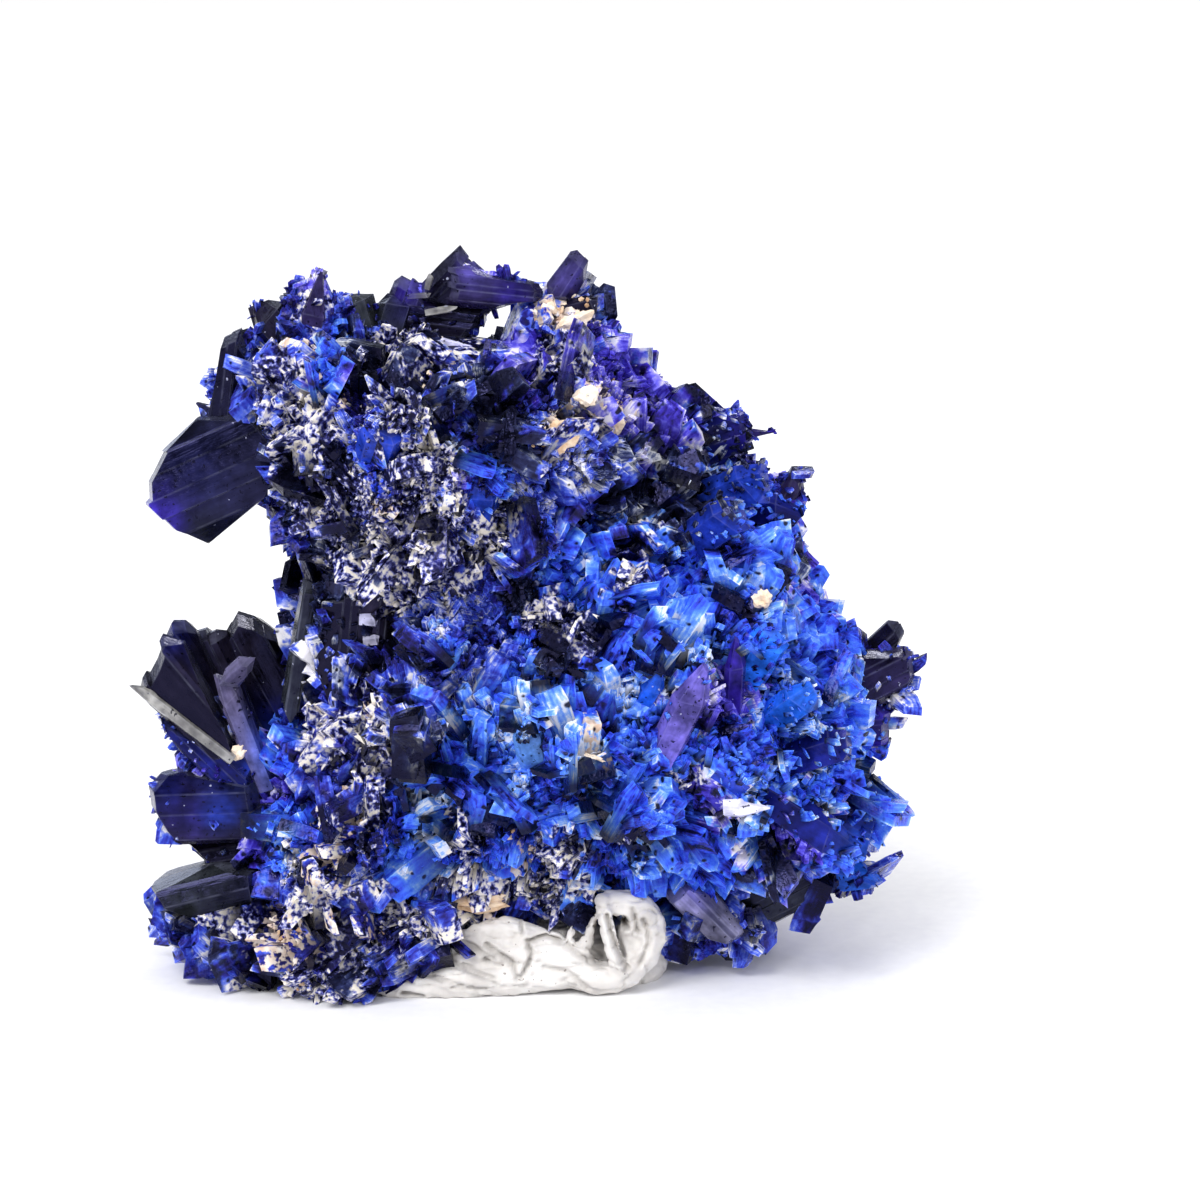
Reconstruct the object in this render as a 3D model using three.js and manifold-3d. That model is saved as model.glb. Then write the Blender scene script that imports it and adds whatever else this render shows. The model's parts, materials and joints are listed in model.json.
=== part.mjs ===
// An azurite specimen: dark blue crystals grown together over a lumpy crystalline core, standing on
// a pinch of white mounting putty. The front of the specimen faces -Y, and it is 45 mm wide.
import * as THREE from 'three';
import { ConvexGeometry } from 'three/addons/geometries/ConvexGeometry.js';
import { MeshSurfaceSampler } from 'three/addons/math/MeshSurfaceSampler.js';
import { mergeVertices } from 'three/addons/utils/BufferGeometryUtils.js';
import Module from 'manifold-3d';

const wasm = await Module();
wasm.setup();

// Driving dimensions, in millimetres.
const SEED = 11;
const CORE_MIDDLE = [0, 0, 19.5];
const CORE_HALF_DEPTH = 9.6;
const CORE_BOXINESS = 2.8;
const CORE_DETAIL = 6;
const CORE_ROUGHNESS = 0.55;
const CUT_DEPTH = 20;
const CUT_WIDTH = 120;
const STREWN_SPACING = 2.4;
const STREWN_REACH = 12.4;
const PLATE_SWAY = 0.12;
const PUTTY_GAP = 0.3;

// The core's outline in the front plane, as X and Z, going round from the right end by the base.
const CORE_OUTLINE = [
  [18.6, 14.8], [18.4, 9.2], [15.8, 4.6], [12.3, 2.2], [7.2, 1.6], [1.8, 1.6], [-3.0, 1.2], [-7.6, -0.6],
  [-11.8, -1.6], [-16.4, -0.3], [-18.9, 2.0], [-17.9, 4.2], [-16.2, 6.2], [-16.6, 8.8], [-15.6, 11.4],
  [-13.6, 14.0], [-12.7, 17.8], [-12.2, 21.6], [-12.5, 24.6], [-13.8, 27.0], [-15.6, 29.8], [-16.2, 32.6],
  [-15.4, 35.2], [-12.9, 36.2], [-9.8, 36.6], [-6.6, 36.0], [-3.0, 35.3], [0.8, 35.4], [3.3, 35.4],
  [5.0, 33.2], [7.2, 31.2], [9.0, 28.9], [11.8, 27.3], [13.9, 24.6], [15.1, 21.4], [16.4, 19.2],
  [18.2, 17.4],
];

// Swellings (out above 0) and hollows (below 0) of the core's front and back, in millimetres.
const CORE_RELIEF = [
  { at: [-7, -1, 31.5], reach: 6.5, out: 1.6 },
  { at: [-13, -1, 32], reach: 4, out: 1.0 },
  { at: [2.5, -1, 31], reach: 3.5, out: 1.2 },
  { at: [7, -1, 26.5], reach: 3.4, out: -3.6 },
  { at: [2.5, -1, 25.5], reach: 3.2, out: -2.8 },
  { at: [-4, -1, 22.5], reach: 4.0, out: -2.2 },
  { at: [-9.5, -1, 24], reach: 3.0, out: -1.4 },
  { at: [8, -1, 14], reach: 6.5, out: 1.8 },
  { at: [12, -1, 21], reach: 3.5, out: 1.4 },
  { at: [2, -1, 17], reach: 4.0, out: 0.8 },
  { at: [-12, -1, 4.5], reach: 4.5, out: 1.4 },
  { at: [-13, -1, 9], reach: 2.6, out: -1.8 },
  { at: [-3, -1, 11], reach: 3.4, out: -1.2 },
  { at: [4, -1, 3], reach: 6, out: -2.4 },
  { at: [0, 1, 30], reach: 9, out: -2.0 },
  { at: [-5, 1, 14], reach: 7, out: 1.6 },
  { at: [9, 1, 18], reach: 5, out: 1.2 },
  { at: [3, 1, 22], reach: 3.5, out: -2.8 },
  { at: [-6, 1, 26], reach: 3.5, out: 1.4 },
  { at: [8, 1, 6], reach: 5, out: -1.6 },
];

// Crystal habits, as shares of a crystal's own length, width and thickness.
const HABITS = {
  block: { foot: 0.86, shoulder: 0.84, endWidth: 0.66, endThick: 0.5, slant: 0.12 },
  wedge: { foot: 0.95, shoulder: 0.4, endWidth: 0.1, endThick: 0.3, slant: 0.0 },
  chisel: { foot: 0.85, shoulder: 0.72, endWidth: 0.5, endThick: 0.08, slant: 0.1 },
  blade: { foot: 0.7, shoulder: 0.7, endWidth: 0.25, endThick: 0.4, slant: 0.05 },
  stub: { foot: 1, endWidth: 0.8, endThick: 0.6, slant: 0.2 },
  gable: { foot: 1, endWidth: 0.7, endThick: 0.1, slant: 0.1 },
};

// Cross-sections of a crystal, as shares of its width and thickness, by how many sides they have.
const SECTIONS = {
  6: [[0.5, 0.08], [0.28, 0.5], [-0.34, 0.5], [-0.5, -0.06], [-0.26, -0.5], [0.34, -0.5]],
  4: [[0.5, 0.2], [-0.3, 0.5], [-0.5, -0.2], [0.3, -0.5]],
};

// Tabular crystals, drawn by their outline in the front plane as X and Z. Y is the middle of the
// plate's thickness, and inset how much smaller than the outline its flat front and back are.
const PLATES = {
  snout: { y: -3.6, thick: 4.6, inset: 0.74, outline: [
    [-18.1, 31.7], [-20.1, 29.9], [-21.1, 28.1], [-21.1, 26.9], [-19.7, 25.5],
    [-17.6, 24.7], [-13.8, 27.7], [-12.7, 29.9], [-14.5, 32.2],
  ] },
  brow_prism: { y: -2.2, thick: 3.4, inset: 0.7, outline: [
    [-17.4, 32.4], [-17.0, 34.0], [-16.6, 36.1], [-15.2, 36.6],
    [-14.6, 36.1], [-14.7, 30.8], [-16.8, 30.2], [-17.9, 31.1],
  ] },
  ridge_left: { y: 1, thick: 2.6, inset: 0.7, outline: [
    [-8.1, 37.1], [-7.5, 38.8], [-7.0, 39.2], [-6.3, 38.9], [-5.5, 38.1], [-5.2, 34.9], [-7.8, 34.9],
  ] },
  ridge_peak: { y: 0.6, thick: 2.6, inset: 0.66, outline: [
    [-5.9, 38.7], [-3.7, 40.9], [-3.1, 40.1], [-2.1, 39.2], [-2.2, 37.5], [-4.6, 37.1], [-6.1, 37.7],
  ] },
  ridge_bar: { y: -0.4, thick: 2.2, inset: 0.76, outline: [
    [-4.4, 39.7], [-3.1, 39.8], [-2.0, 39.2], [1.3, 38.7],
    [1.1, 37.8], [-0.4, 37.7], [-1.7, 37.3], [-4.5, 37.5],
  ] },
  ridge_under: { y: 1, thick: 3.2, inset: 0.78, outline: [
    [-7.4, 37.9], [-1.7, 37.4], [-3.2, 35.4], [-4.7, 34.5], [-7.6, 34.5],
  ] },
  ridge_right: { y: 0.8, thick: 4.4, inset: 0.72, outline: [
    [-0.6, 37.9], [1.3, 38.5], [3.4, 37.7], [4.1, 36.5], [5.0, 34.2],
    [1.8, 33.4], [-1.7, 34.8], [-1.5, 35.6], [-1.3, 36.2], [-0.7, 36.7],
  ] },
  finger: { y: -0.4, thick: 1.6, inset: 0.7, outline: [
    [1.0, 38.6], [2.5, 40.6], [2.9, 40.7], [3.5, 40.1], [3.3, 39.0], [2.5, 37.6], [1.2, 37.6],
  ] },
  shoulder_top: { y: 0.4, thick: 3.4, inset: 0.7, outline: [
    [3.4, 36.2], [4.2, 36.7], [4.7, 35.7], [5.1, 34.3], [4.1, 32.1], [3.0, 33.8],
  ] },
  shoulder_low: { y: 0.6, thick: 3.8, inset: 0.7, outline: [
    [4.8, 34.0], [6.3, 33.4], [7.7, 32.0], [8.6, 30.9], [8.1, 29.3], [4.1, 31.5],
  ] },
  ear: { y: 0.8, thick: 2, inset: 0.8, outline: [
    [8.2, 30.7], [8.9, 31.7], [10.5, 31.7], [12.4, 31.4],
    [12.8, 29.9], [11.9, 28.3], [9.8, 27.6], [7.6, 28.9],
  ] },
  ear_under: { y: 0.4, thick: 3, inset: 0.7, outline: [
    [9.2, 28.3], [11.9, 28.5], [13.8, 27.1], [14.1, 26.1], [12.1, 25.2], [9.2, 25.7],
  ] },
  tuft_top: { y: 0, thick: 1.4, inset: 0.7, outline: [
    [13.7, 26.3], [14.6, 27.8], [15.0, 28.5], [15.5, 28.0], [15.7, 27.1], [14.9, 25.7],
  ] },
  tuft_low: { y: 0, thick: 1.6, inset: 0.7, outline: [
    [13.5, 26.5], [14.9, 27.0], [16.0, 26.6], [15.4, 25.5], [14.5, 24.7], [13.4, 25.0],
  ] },
  blade_v: { y: -0.8, thick: 1.6, inset: 0.7, outline: [
    [14.0, 23.4], [15.2, 24.7], [15.3, 22.9], [15.0, 21.2], [13.6, 21.2],
  ] },
  tail_top: { y: 1.2, thick: 1.4, inset: 0.7, outline: [
    [18.1, 16.7], [20.8, 19.3], [21.4, 19.2], [21.7, 18.6], [21.0, 16.9], [19.2, 15.9],
  ] },
  tail_main: { y: 0, thick: 2.8, inset: 0.72, outline: [
    [17.8, 16.7], [18.8, 17.7], [21.6, 17.9], [22.2, 17.8],
    [22.4, 16.8], [21.8, 15.3], [20.4, 14.5], [17.8, 14.4],
  ] },
  tail_low: { y: 0.2, thick: 2.2, inset: 0.72, outline: [
    [17.5, 14.5], [20.4, 14.5], [20.9, 14.1], [20.9, 12.2], [19.7, 11.9], [17.5, 12.1],
  ] },
  tail_end: { y: 0.3, thick: 1.8, inset: 0.7, outline: [
    [16.9, 12.2], [19.6, 11.8], [20.0, 11.0], [18.6, 10.3], [16.9, 9.9],
  ] },
  flank: { y: -1.8, thick: 4, inset: 0.74, outline: [
    [15.3, 11.8], [18.4, 11.0], [20.5, 9.9], [20.5, 9.1], [19.8, 6.3], [18.2, 5.6], [15.0, 6.0],
  ] },
  spur: { y: -1.4, thick: 2.2, inset: 0.7, outline: [
    [16.0, 6.3], [19.0, 6.0], [20.5, 4.4], [20.2, 4.0], [18.4, 3.8], [16.4, 4.0],
  ] },
  foot_dark: { y: -2.4, thick: 3.6, inset: 0.72, outline: [
    [12.4, 6.0], [16.3, 6.0], [17.9, 4.7], [17.0, 4.4],
    [16.0, 3.9], [14.7, 2.5], [13.0, 1.7], [11.2, 3.2],
  ] },
  foot_prism: { y: -5.2, thick: 2.6, inset: 0.76, outline: [
    [7.0, 6.1], [8.4, 6.7], [10.0, 5.6], [13.4, 2.2], [12.6, 1.5], [11.1, 1.5], [9.2, 2.8],
  ] },
  foot_under: { y: -4, thick: 3, inset: 0.7, outline: [
    [6.4, 4.6], [9.8, 4.6], [13.2, 2.2], [11.4, 0.9], [10.5, 1.3], [8.0, 0.5], [7.2, 1.0],
  ] },
  rose_a: { y: -4.2, thick: 3, inset: 0.72, outline: [
    [-21.7, 16.3], [-21.5, 17.2], [-20.3, 19.6], [-19.1, 19.2],
    [-16.4, 13.6], [-16.1, 12.5], [-17.1, 12.3], [-20.9, 15.4],
  ] },
  rose_foot: { y: -3.4, thick: 4, inset: 0.76, outline: [
    [-20.7, 14.9], [-19.3, 12.8], [-18.8, 11.9], [-17.7, 11.1], [-15.4, 10.4], [-15.0, 12.6], [-18.2, 13.9],
  ] },
  rose_b: { y: -2.4, thick: 2.8, inset: 0.7, outline: [
    [-20.5, 18.9], [-20.0, 20.0], [-19.3, 20.0], [-18.6, 19.4], [-15.8, 13.0], [-16.4, 11.7], [-18.4, 12.6],
  ] },
  rose_c: { y: -1, thick: 2.6, inset: 0.7, outline: [
    [-19.2, 19.0], [-17.9, 19.4], [-17.1, 19.1], [-15.1, 13.0], [-15.6, 11.5], [-17.4, 11.8],
  ] },
  rose_d: { y: 0.2, thick: 3.4, inset: 0.72, outline: [
    [-17.5, 18.6], [-16.7, 20.0], [-15.8, 19.7], [-13.5, 18.0], [-12.9, 13.5], [-15.0, 11.1], [-16.1, 12.3],
  ] },
  rose_hook: { y: -6, thick: 1.4, inset: 0.8, outline: [
    [-17.0, 17.1], [-16.6, 18.1], [-15.8, 18.8], [-14.9, 18.7], [-15.1, 18.0], [-15.9, 17.0],
  ] },
  slab_edge: { y: -4.2, thick: 4.6, inset: 0.8, outline: [
    [-12.3, 23.1], [-11.3, 23.1], [-11.6, 19.3], [-12.3, 15.5],
    [-13.2, 14.2], [-13.8, 15.6], [-13.3, 18.4], [-12.7, 21.3],
  ] },
  slab_face: { y: -5.6, thick: 4.4, inset: 0.84, outline: [
    [-11.4, 22.7], [-7.3, 23.3], [-7.0, 19.6], [-7.6, 16.7], [-10.9, 16.2], [-11.8, 18.5],
  ] },
  jaw_block: { y: -4.2, thick: 3.8, inset: 0.78, outline: [
    [-21.5, 10.9], [-20.7, 11.6], [-19.3, 11.8], [-15.0, 11.2], [-14.5, 7.8],
    [-19.4, 7.5], [-20.1, 7.7], [-20.8, 8.7], [-21.4, 9.8],
  ] },
  jaw_under: { y: -3.2, thick: 3.6, inset: 0.76, outline: [
    [-19.7, 7.5], [-14.7, 7.9], [-14.3, 5.7], [-17.9, 6.2], [-18.8, 6.6],
  ] },
  chin: { y: -4.6, thick: 4.4, inset: 0.7, outline: [
    [-21.5, 5.1], [-17.7, 6.6], [-13.9, 6.2], [-13.0, 2.4], [-15.2, 0.2],
    [-16.2, 0.2], [-18.6, 1.0], [-20.5, 3.0], [-21.0, 4.4],
  ] },
  chin_tooth: { y: -6.4, thick: 2.8, inset: 0.7, outline: [
    [-17.0, 1.9], [-13.3, 2.5], [-13.6, 0.8], [-14.0, 0.6], [-15.0, 0.2], [-15.9, 0.8],
  ] },
  foot_left: { y: -7.4, thick: 4.6, inset: 0.72, outline: [
    [-14.3, 2.8], [-13.1, 4.8], [-4.8, 5.1], [-4.3, 2.3],
    [-7.7, 1.2], [-10.9, -0.1], [-12.2, -0.2], [-13.5, 0.4],
  ] },
};

// Prismatic crystals. Bearing is the angle in the front
// plane from +X towards +Z, lean how far it tips towards the front, spin the turn about its own length.
const CRYSTALS = {
  brow_flake: { root: [-16.2, -2.5, 30.9], bearing: 146, lean: -10, size: [2.4, 1.3, 1.6], habit: 'wedge' },
  horn: { root: [-12.2, -2.5, 34.9], bearing: 79, lean: 6, size: [4.9, 4.2, 2.4], habit: 'wedge' },
  horn_side: { root: [-12.5, -2.0, 35.0], bearing: 129, lean: 0, size: [3.4, 2.2, 2.2], habit: 'chisel' },
  snout_step: { root: [-14.0, -5.2, 31.4], bearing: 203, lean: 2, size: [5.4, 1.5, 1.8], habit: 'blade' },
  snout_line: { root: [-13.6, -5.4, 29.8], bearing: 206, lean: 2, size: [4.2, 1.0, 1.4], habit: 'blade' },
  crest_a: { root: [-9.2, 0.0, 35.2], bearing: 105, lean: 0, size: [2.8, 2.6, 2.6], habit: 'block' },
  crest_b: { root: [-7.9, 0.0, 35.4], bearing: 73, lean: -10, size: [2.4, 2.0, 2.2], habit: 'block' },
  finger_knob: { root: [2.0, -0.6, 37.2], bearing: 13, lean: 0, size: [1.9, 1.2, 1.2], habit: 'block' },
  ear_spike: { root: [11.6, 1.5, 30.0], bearing: 3, lean: 0, size: [2.3, 0.6, 0.7], habit: 'wedge' },
  rose_blade: { root: [-14.7, -4.3, 10.8], bearing: 107, lean: 12, size: [6.7, 1.3, 1.2], habit: 'block' },
  violet_a: { root: [8.0, -9.0, 13.5], bearing: 77, lean: 22, size: [7.4, 2.1, 1.2], habit: 'blade' },
  violet_b: { root: [11.3, -8.8, 15.8], bearing: 89, lean: 25, size: [5.3, 1.1, 0.9], habit: 'blade' },
  navy_block: { root: [9.8, -8.2, 11.3], bearing: 57, lean: 36, size: [5.1, 3.6, 2.4], habit: 'block' },
  pale_plate: { root: [11.2, -9.4, 10.1], bearing: 54, lean: 40, size: [3.1, 2.1, 0.9], habit: 'chisel' },
  violet_wedge: { root: [13.3, -7.6, 11.8], bearing: 315, lean: 4, size: [6.2, 2.6, 2.2], habit: 'chisel' },
  plate_a: { root: [9.0, -1.5, 26.1], bearing: 30, lean: 36, size: [5.6, 2.6, 1.4], habit: 'block' },
  plate_b: { root: [10.8, -1.6, 26.8], bearing: 348, lean: 12, size: [4.4, 2.0, 1.4], habit: 'chisel' },
  plate_c: { root: [9.0, -6.5, 25.1], bearing: 46, lean: 41, size: [4.4, 2.4, 1.4], habit: 'block' },
  light_facet: { root: [-3.7, -8.2, 18.6], bearing: 98, lean: 43, size: [3.8, 1.6, 1.2], habit: 'block' },
  pale_facet: { root: [0.6, -8.8, 13.8], bearing: 78, lean: 35, size: [4.9, 2.0, 1.4], habit: 'block' },
  mid_facet: { root: [-2.5, -7.0, 26.5], bearing: 81, lean: 36, size: [4.4, 2.4, 1.8], habit: 'block' },
  head_facet: { root: [-6.6, -9.0, 30.6], bearing: 90, lean: 39, size: [3.8, 2.3, 1.8], habit: 'block' },
  fan_a: { root: [13.4, -8.0, 15.6], bearing: 46, lean: 33, size: [3.6, 2.0, 1.2], habit: 'chisel' },
  fan_b: { root: [14.6, -7.0, 13.1], bearing: 26, lean: 26, size: [3.6, 2.0, 1.4], habit: 'block' },
  fan_c: { root: [12.0, -8.4, 18.0], bearing: 68, lean: 35, size: [3.9, 2.2, 1.4], habit: 'block' },
  fan_d: { root: [6.3, -9.2, 17.1], bearing: 76, lean: 35, size: [4.2, 2.2, 1.4], habit: 'chisel' },
};

// Small crystals strewn over each side of the core: how many, and how long and wide they are.
const STREWN = [
  { side: [0, -1, 0], count: 46, length: [3.4, 6.4], width: [2.0, 3.8], rise: 0.4, margin: 0.3 },
  { side: [0, 1, 0], count: 26, length: [4.4, 8.4], width: [2.2, 4.4], rise: 0.42, margin: 0.6 },
  { side: [0, 0, 1], count: 5, length: [2.2, 3.6], width: [1.2, 2.2], rise: 0.5, margin: 0.5 },
  { side: [1, 0, 0], count: 6, length: [2.2, 4.0], width: [1.0, 2.2], rise: 0.5, margin: 1.4 },
];

// The strands of the mounting putty: points along each, as X, Y, Z and radius.
const PUTTY_STRANDS = {
  bed_front: [[-4.4, -5.4, 0.6, 1.6], [5.6, -5.0, 0.8, 2.3]],
  bed_middle: [[-3.6, -3.0, 0.6, 2.2], [6.8, -1.6, 0.8, 2.4]],
  bed_back: [[-2.4, -0.6, 0.6, 2.2], [6.6, 1.6, 0.8, 2.2]],
  streak_low: [[-7.8, -8.6, 0.3, 0.45], [-4.0, -8.5, 0.7, 0.9], [2.4, -8.0, 1.1, 0.9]],
  streak_mid: [[-7.4, -7.6, 0.9, 0.5], [-2.2, -7.6, 2.1, 1.0], [2.8, -7.9, 1.8, 1.0]],
  streak_top: [[-3.4, -7.2, 2.6, 0.7], [-1.4, -7.2, 3.0, 0.8], [1.4, -7.4, 2.4, 0.7]],
  roll: [[2.4, -8.0, 1.2, 0.9], [4.0, -8.3, 0.9, 0.9], [5.4, -8.1, 1.1, 0.9], [6.5, -7.7, 2.2, 0.9]],
  curl: [[6.5, -7.7, 2.2, 0.9], [6.9, -7.4, 3.5, 0.8], [6.1, -7.2, 4.5, 0.8], [4.8, -7.3, 4.8, 0.7]],
  rim: [[4.3, -7.7, 4.9, 0.5], [4.6, -8.6, 3.7, 0.5], [5.0, -8.9, 2.2, 0.5], [5.3, -8.6, 1.2, 0.6]],
  lobe: [[5.6, -7.4, 1.6, 1.0], [5.8, -7.3, 3.4, 0.9]],
  spike_a: [[2.6, -8.0, 2.4, 0.5], [2.75, -7.8, 3.5, 0.2]],
  spike_b: [[3.2, -8.0, 2.2, 0.5], [3.6, -7.8, 3.8, 0.2]],
};

// A repeatable source of numbers from 0 to 1.
function seeded(seed) {
  let state = seed >>> 0;
  return () => {
    state = (state + 0x6d2b79f5) >>> 0;
    let t = Math.imul(state ^ (state >>> 15), 1 | state);
    t = (t + Math.imul(t ^ (t >>> 7), 61 | t)) ^ t;
    return ((t ^ (t >>> 14)) >>> 0) / 4294967296;
  };
}

const random = seeded(SEED);
const between = (low, high) => low + (high - low) * random();

// A closed three.js geometry as a solid that can be joined and cut.
function solidOf(geometry) {
  const bare = geometry.clone();
  bare.deleteAttribute('normal');
  bare.deleteAttribute('uv');
  const merged = mergeVertices(bare, 1e-4);
  return new wasm.Manifold(new wasm.Mesh({
    numProp: 3,
    vertProperties: merged.attributes.position.array,
    triVerts: new Uint32Array(merged.index.array),
  }));
}

// A joined solid as a flat-faced three.js geometry.
function geometryOf(solid) {
  const mesh = solid.getMesh();
  const geometry = new THREE.BufferGeometry();
  geometry.setAttribute('position', new THREE.BufferAttribute(new Float32Array(mesh.vertProperties), 3));
  geometry.setIndex(new THREE.BufferAttribute(new Uint32Array(mesh.triVerts), 1));
  const flat = geometry.toNonIndexed();
  flat.computeVertexNormals();
  return flat;
}

// How far the outline lies from the core's middle along a direction in the front plane.
function outlineReach(x, z) {
  const angle = Math.atan2(z, x);
  for (let i = 0; i < CORE_OUTLINE.length; i++) {
    const [ax, az] = CORE_OUTLINE[i];
    const [bx, bz] = CORE_OUTLINE[(i + 1) % CORE_OUTLINE.length];
    const from = [ax - CORE_MIDDLE[0], az - CORE_MIDDLE[2]];
    const to = [bx - CORE_MIDDLE[0], bz - CORE_MIDDLE[2]];
    const startAngle = Math.atan2(from[1], from[0]);
    const turn = (value) => (value + 4 * Math.PI) % (2 * Math.PI);
    const step = turn(startAngle - Math.atan2(to[1], to[0]));
    const along = turn(startAngle - angle);
    if (along > step) continue;
    const cross = (u, v) => u[0] * v[1] - u[1] * v[0];
    const edge = [to[0] - from[0], to[1] - from[1]];
    return cross(from, edge) / cross([Math.cos(angle), Math.sin(angle)], edge);
  }
  throw new Error('the core outline does not go all the way round');
}

// The core: a faceted ball stretched in the front plane to the outline, flattened in front and
// behind, then roughened.
function coreGeometry() {
  const ball = new THREE.IcosahedronGeometry(1, CORE_DETAIL);
  ball.deleteAttribute('normal');
  ball.deleteAttribute('uv');
  const geometry = mergeVertices(ball, 1e-4);
  const position = geometry.attributes.position;
  const point = new THREE.Vector3();
  const shove = () => between(-1, 1) * CORE_ROUGHNESS;
  for (let i = 0; i < position.count; i++) {
    point.fromBufferAttribute(position, i);
    const share = Math.hypot(point.x, point.z);
    const reach = outlineReach(point.x, point.z);
    const bulge = Math.sqrt(Math.max(0, 1 - share ** CORE_BOXINESS));
    const depth = Math.sign(point.y) * CORE_HALF_DEPTH * bulge;
    point.set(point.x * reach, depth, point.z * reach).add(new THREE.Vector3(...CORE_MIDDLE));
    point.y += reliefAt(point);
    position.setXYZ(i, point.x + shove(), point.y + shove(), point.z + shove());
  }
  return geometry;
}

// How far the core's surface is shifted along Y at a point: outwards where the relief swells.
function reliefAt(point) {
  const facing = Math.sign(point.y - CORE_MIDDLE[1]) || 1;
  const edge = Math.min(1, Math.abs(point.y - CORE_MIDDLE[1]) / 5);
  return CORE_RELIEF.filter(({ at }) => at[1] === facing).reduce((shift, { at, reach, out }) => {
    const distance = Math.hypot(point.x - at[0], point.z - at[2]) / reach;
    return shift + facing * out * edge * Math.exp(-distance * distance);
  }, 0);
}

// The direction of a bearing in the front plane, leaning forward towards -Y.
function direction(bearing, lean) {
  const b = THREE.MathUtils.degToRad(bearing);
  const f = THREE.MathUtils.degToRad(lean);
  return new THREE.Vector3(Math.cos(b) * Math.cos(f), -Math.sin(f), Math.sin(b) * Math.cos(f));
}

// A crystal's own frame: its length along the growth direction, its width in the front plane.
function crystalFrame(root, along, spin) {
  const side = new THREE.Vector3(0, -1, 0).cross(along);
  if (side.lengthSq() < 1e-6) side.set(1, 0, 0);
  side.normalize().applyAxisAngle(along, spin);
  const depth = new THREE.Vector3().crossVectors(along, side);
  return new THREE.Matrix4().makeBasis(side, depth, along).setPosition(...root);
}

// A prism that narrows from its shoulder to a flat or wedge-shaped end.
function crystalGeometry({ size, habit, sides = 6 }) {
  const [length, width, thick] = size;
  const shape = HABITS[habit];
  const section = SECTIONS[sides];
  const ring = (height, wide, deep, slant) => section.map(([u, v]) => new THREE.Vector3(
    u * width * wide,
    v * thick * deep,
    height + slant * length * u,
  ));
  const shoulder = shape.shoulder ? ring(length * shape.shoulder, 1, 1, -shape.slant) : [];
  return new ConvexGeometry([
    ...ring(0, shape.foot, shape.foot, 0),
    ...shoulder,
    ...ring(length, shape.endWidth, shape.endThick, shape.slant),
  ]);
}

// A tabular crystal: its outline at mid thickness, with smaller flat faces in front and behind.
function plateSolid({ y, thick, inset, outline }) {
  const middle = [0, 1].map((axis) => outline.reduce((sum, corner) => sum + corner[axis], 0) / outline.length);
  const ring = (depth, scale, sway) => outline.map(([x, z]) => new THREE.Vector3(
    middle[0] + (x - middle[0]) * scale,
    y + depth + sway * ((x - middle[0]) * 0.6 + (z - middle[1])),
    middle[1] + (z - middle[1]) * scale,
  ));
  const sway = between(-PLATE_SWAY, PLATE_SWAY);
  return solidOf(new ConvexGeometry([
    ...ring(-thick / 2, inset, sway),
    ...ring(0, 1, 0),
    ...ring(thick / 2, inset, sway).filter((_, corner) => corner % 2 === 0),
  ]));
}

// A prismatic crystal where it grew.
function grow({ root, along, spin = 0, size, ...shape }) {
  return solidOf(crystalGeometry({ size, ...shape }).applyMatrix4(crystalFrame(root, along, spin)));
}

// Where a small crystal may not stand: the open notch at the left, the gap under the ridge, and
// low down, where the putty and the ground are.
function isQuiet({ x, z }) {
  const notch = x < -9.5 && z > 14 && z < 28;
  const gap = Math.abs(x + 0.6) < 2.6 && z > 32;
  return notch || gap || z < 5.5;
}

// Whether a point stays within a margin of the core's outline, seen from the front.
function withinOutline({ x, z }, margin) {
  const [middleX, , middleZ] = CORE_MIDDLE;
  return Math.hypot(x - middleX, z - middleZ) < outlineReach(x - middleX, z - middleZ) + margin;
}

// Small crystals on the outside of the core, standing out from it and leaning at random.
function strewnSolids(coreMesh, { side, count, length, width, rise, margin }) {
  const facing = new THREE.Vector3(...side).normalize();
  const sampler = new MeshSurfaceSampler(coreMesh).setRandomGenerator(random).build();
  const point = new THREE.Vector3();
  const normal = new THREE.Vector3();
  const taken = [];
  const solids = [];
  for (let tries = 0; taken.length < count && tries < 6000; tries++) {
    sampler.sample(point, normal);
    const crowded = taken.some((other) => other.distanceTo(point) < STREWN_SPACING);
    if (normal.dot(facing) < 0.5 || isQuiet(point) || crowded) continue;
    const outward = point.clone().sub(new THREE.Vector3(...CORE_MIDDLE)).normalize();
    const stray = new THREE.Vector3(between(-1, 1), between(-1, 1), between(-1, 1)).multiplyScalar(1.3);
    const along = normal.clone().add(outward.multiplyScalar(0.6)).add(stray).normalize();
    const long = between(...length);
    const wide = between(...width);
    const tip = point.clone().addScaledVector(along, long * rise);
    const foot = point.clone().addScaledVector(along, -long * (1 - rise));
    const astray = !withinOutline(tip, margin) || !withinOutline(foot, -wide / 2);
    if (isQuiet(tip) || astray || Math.abs(tip.y) > STREWN_REACH) continue;
    taken.push(point.clone());
    solids.push(grow({
      root: foot.toArray(),
      along,
      spin: between(0, Math.PI),
      size: [long, wide, wide * between(0.45, 0.8)],
      habit: random() < 0.6 ? 'stub' : 'gable',
      sides: 4,
    }));
  }
  return solids;
}

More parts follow.
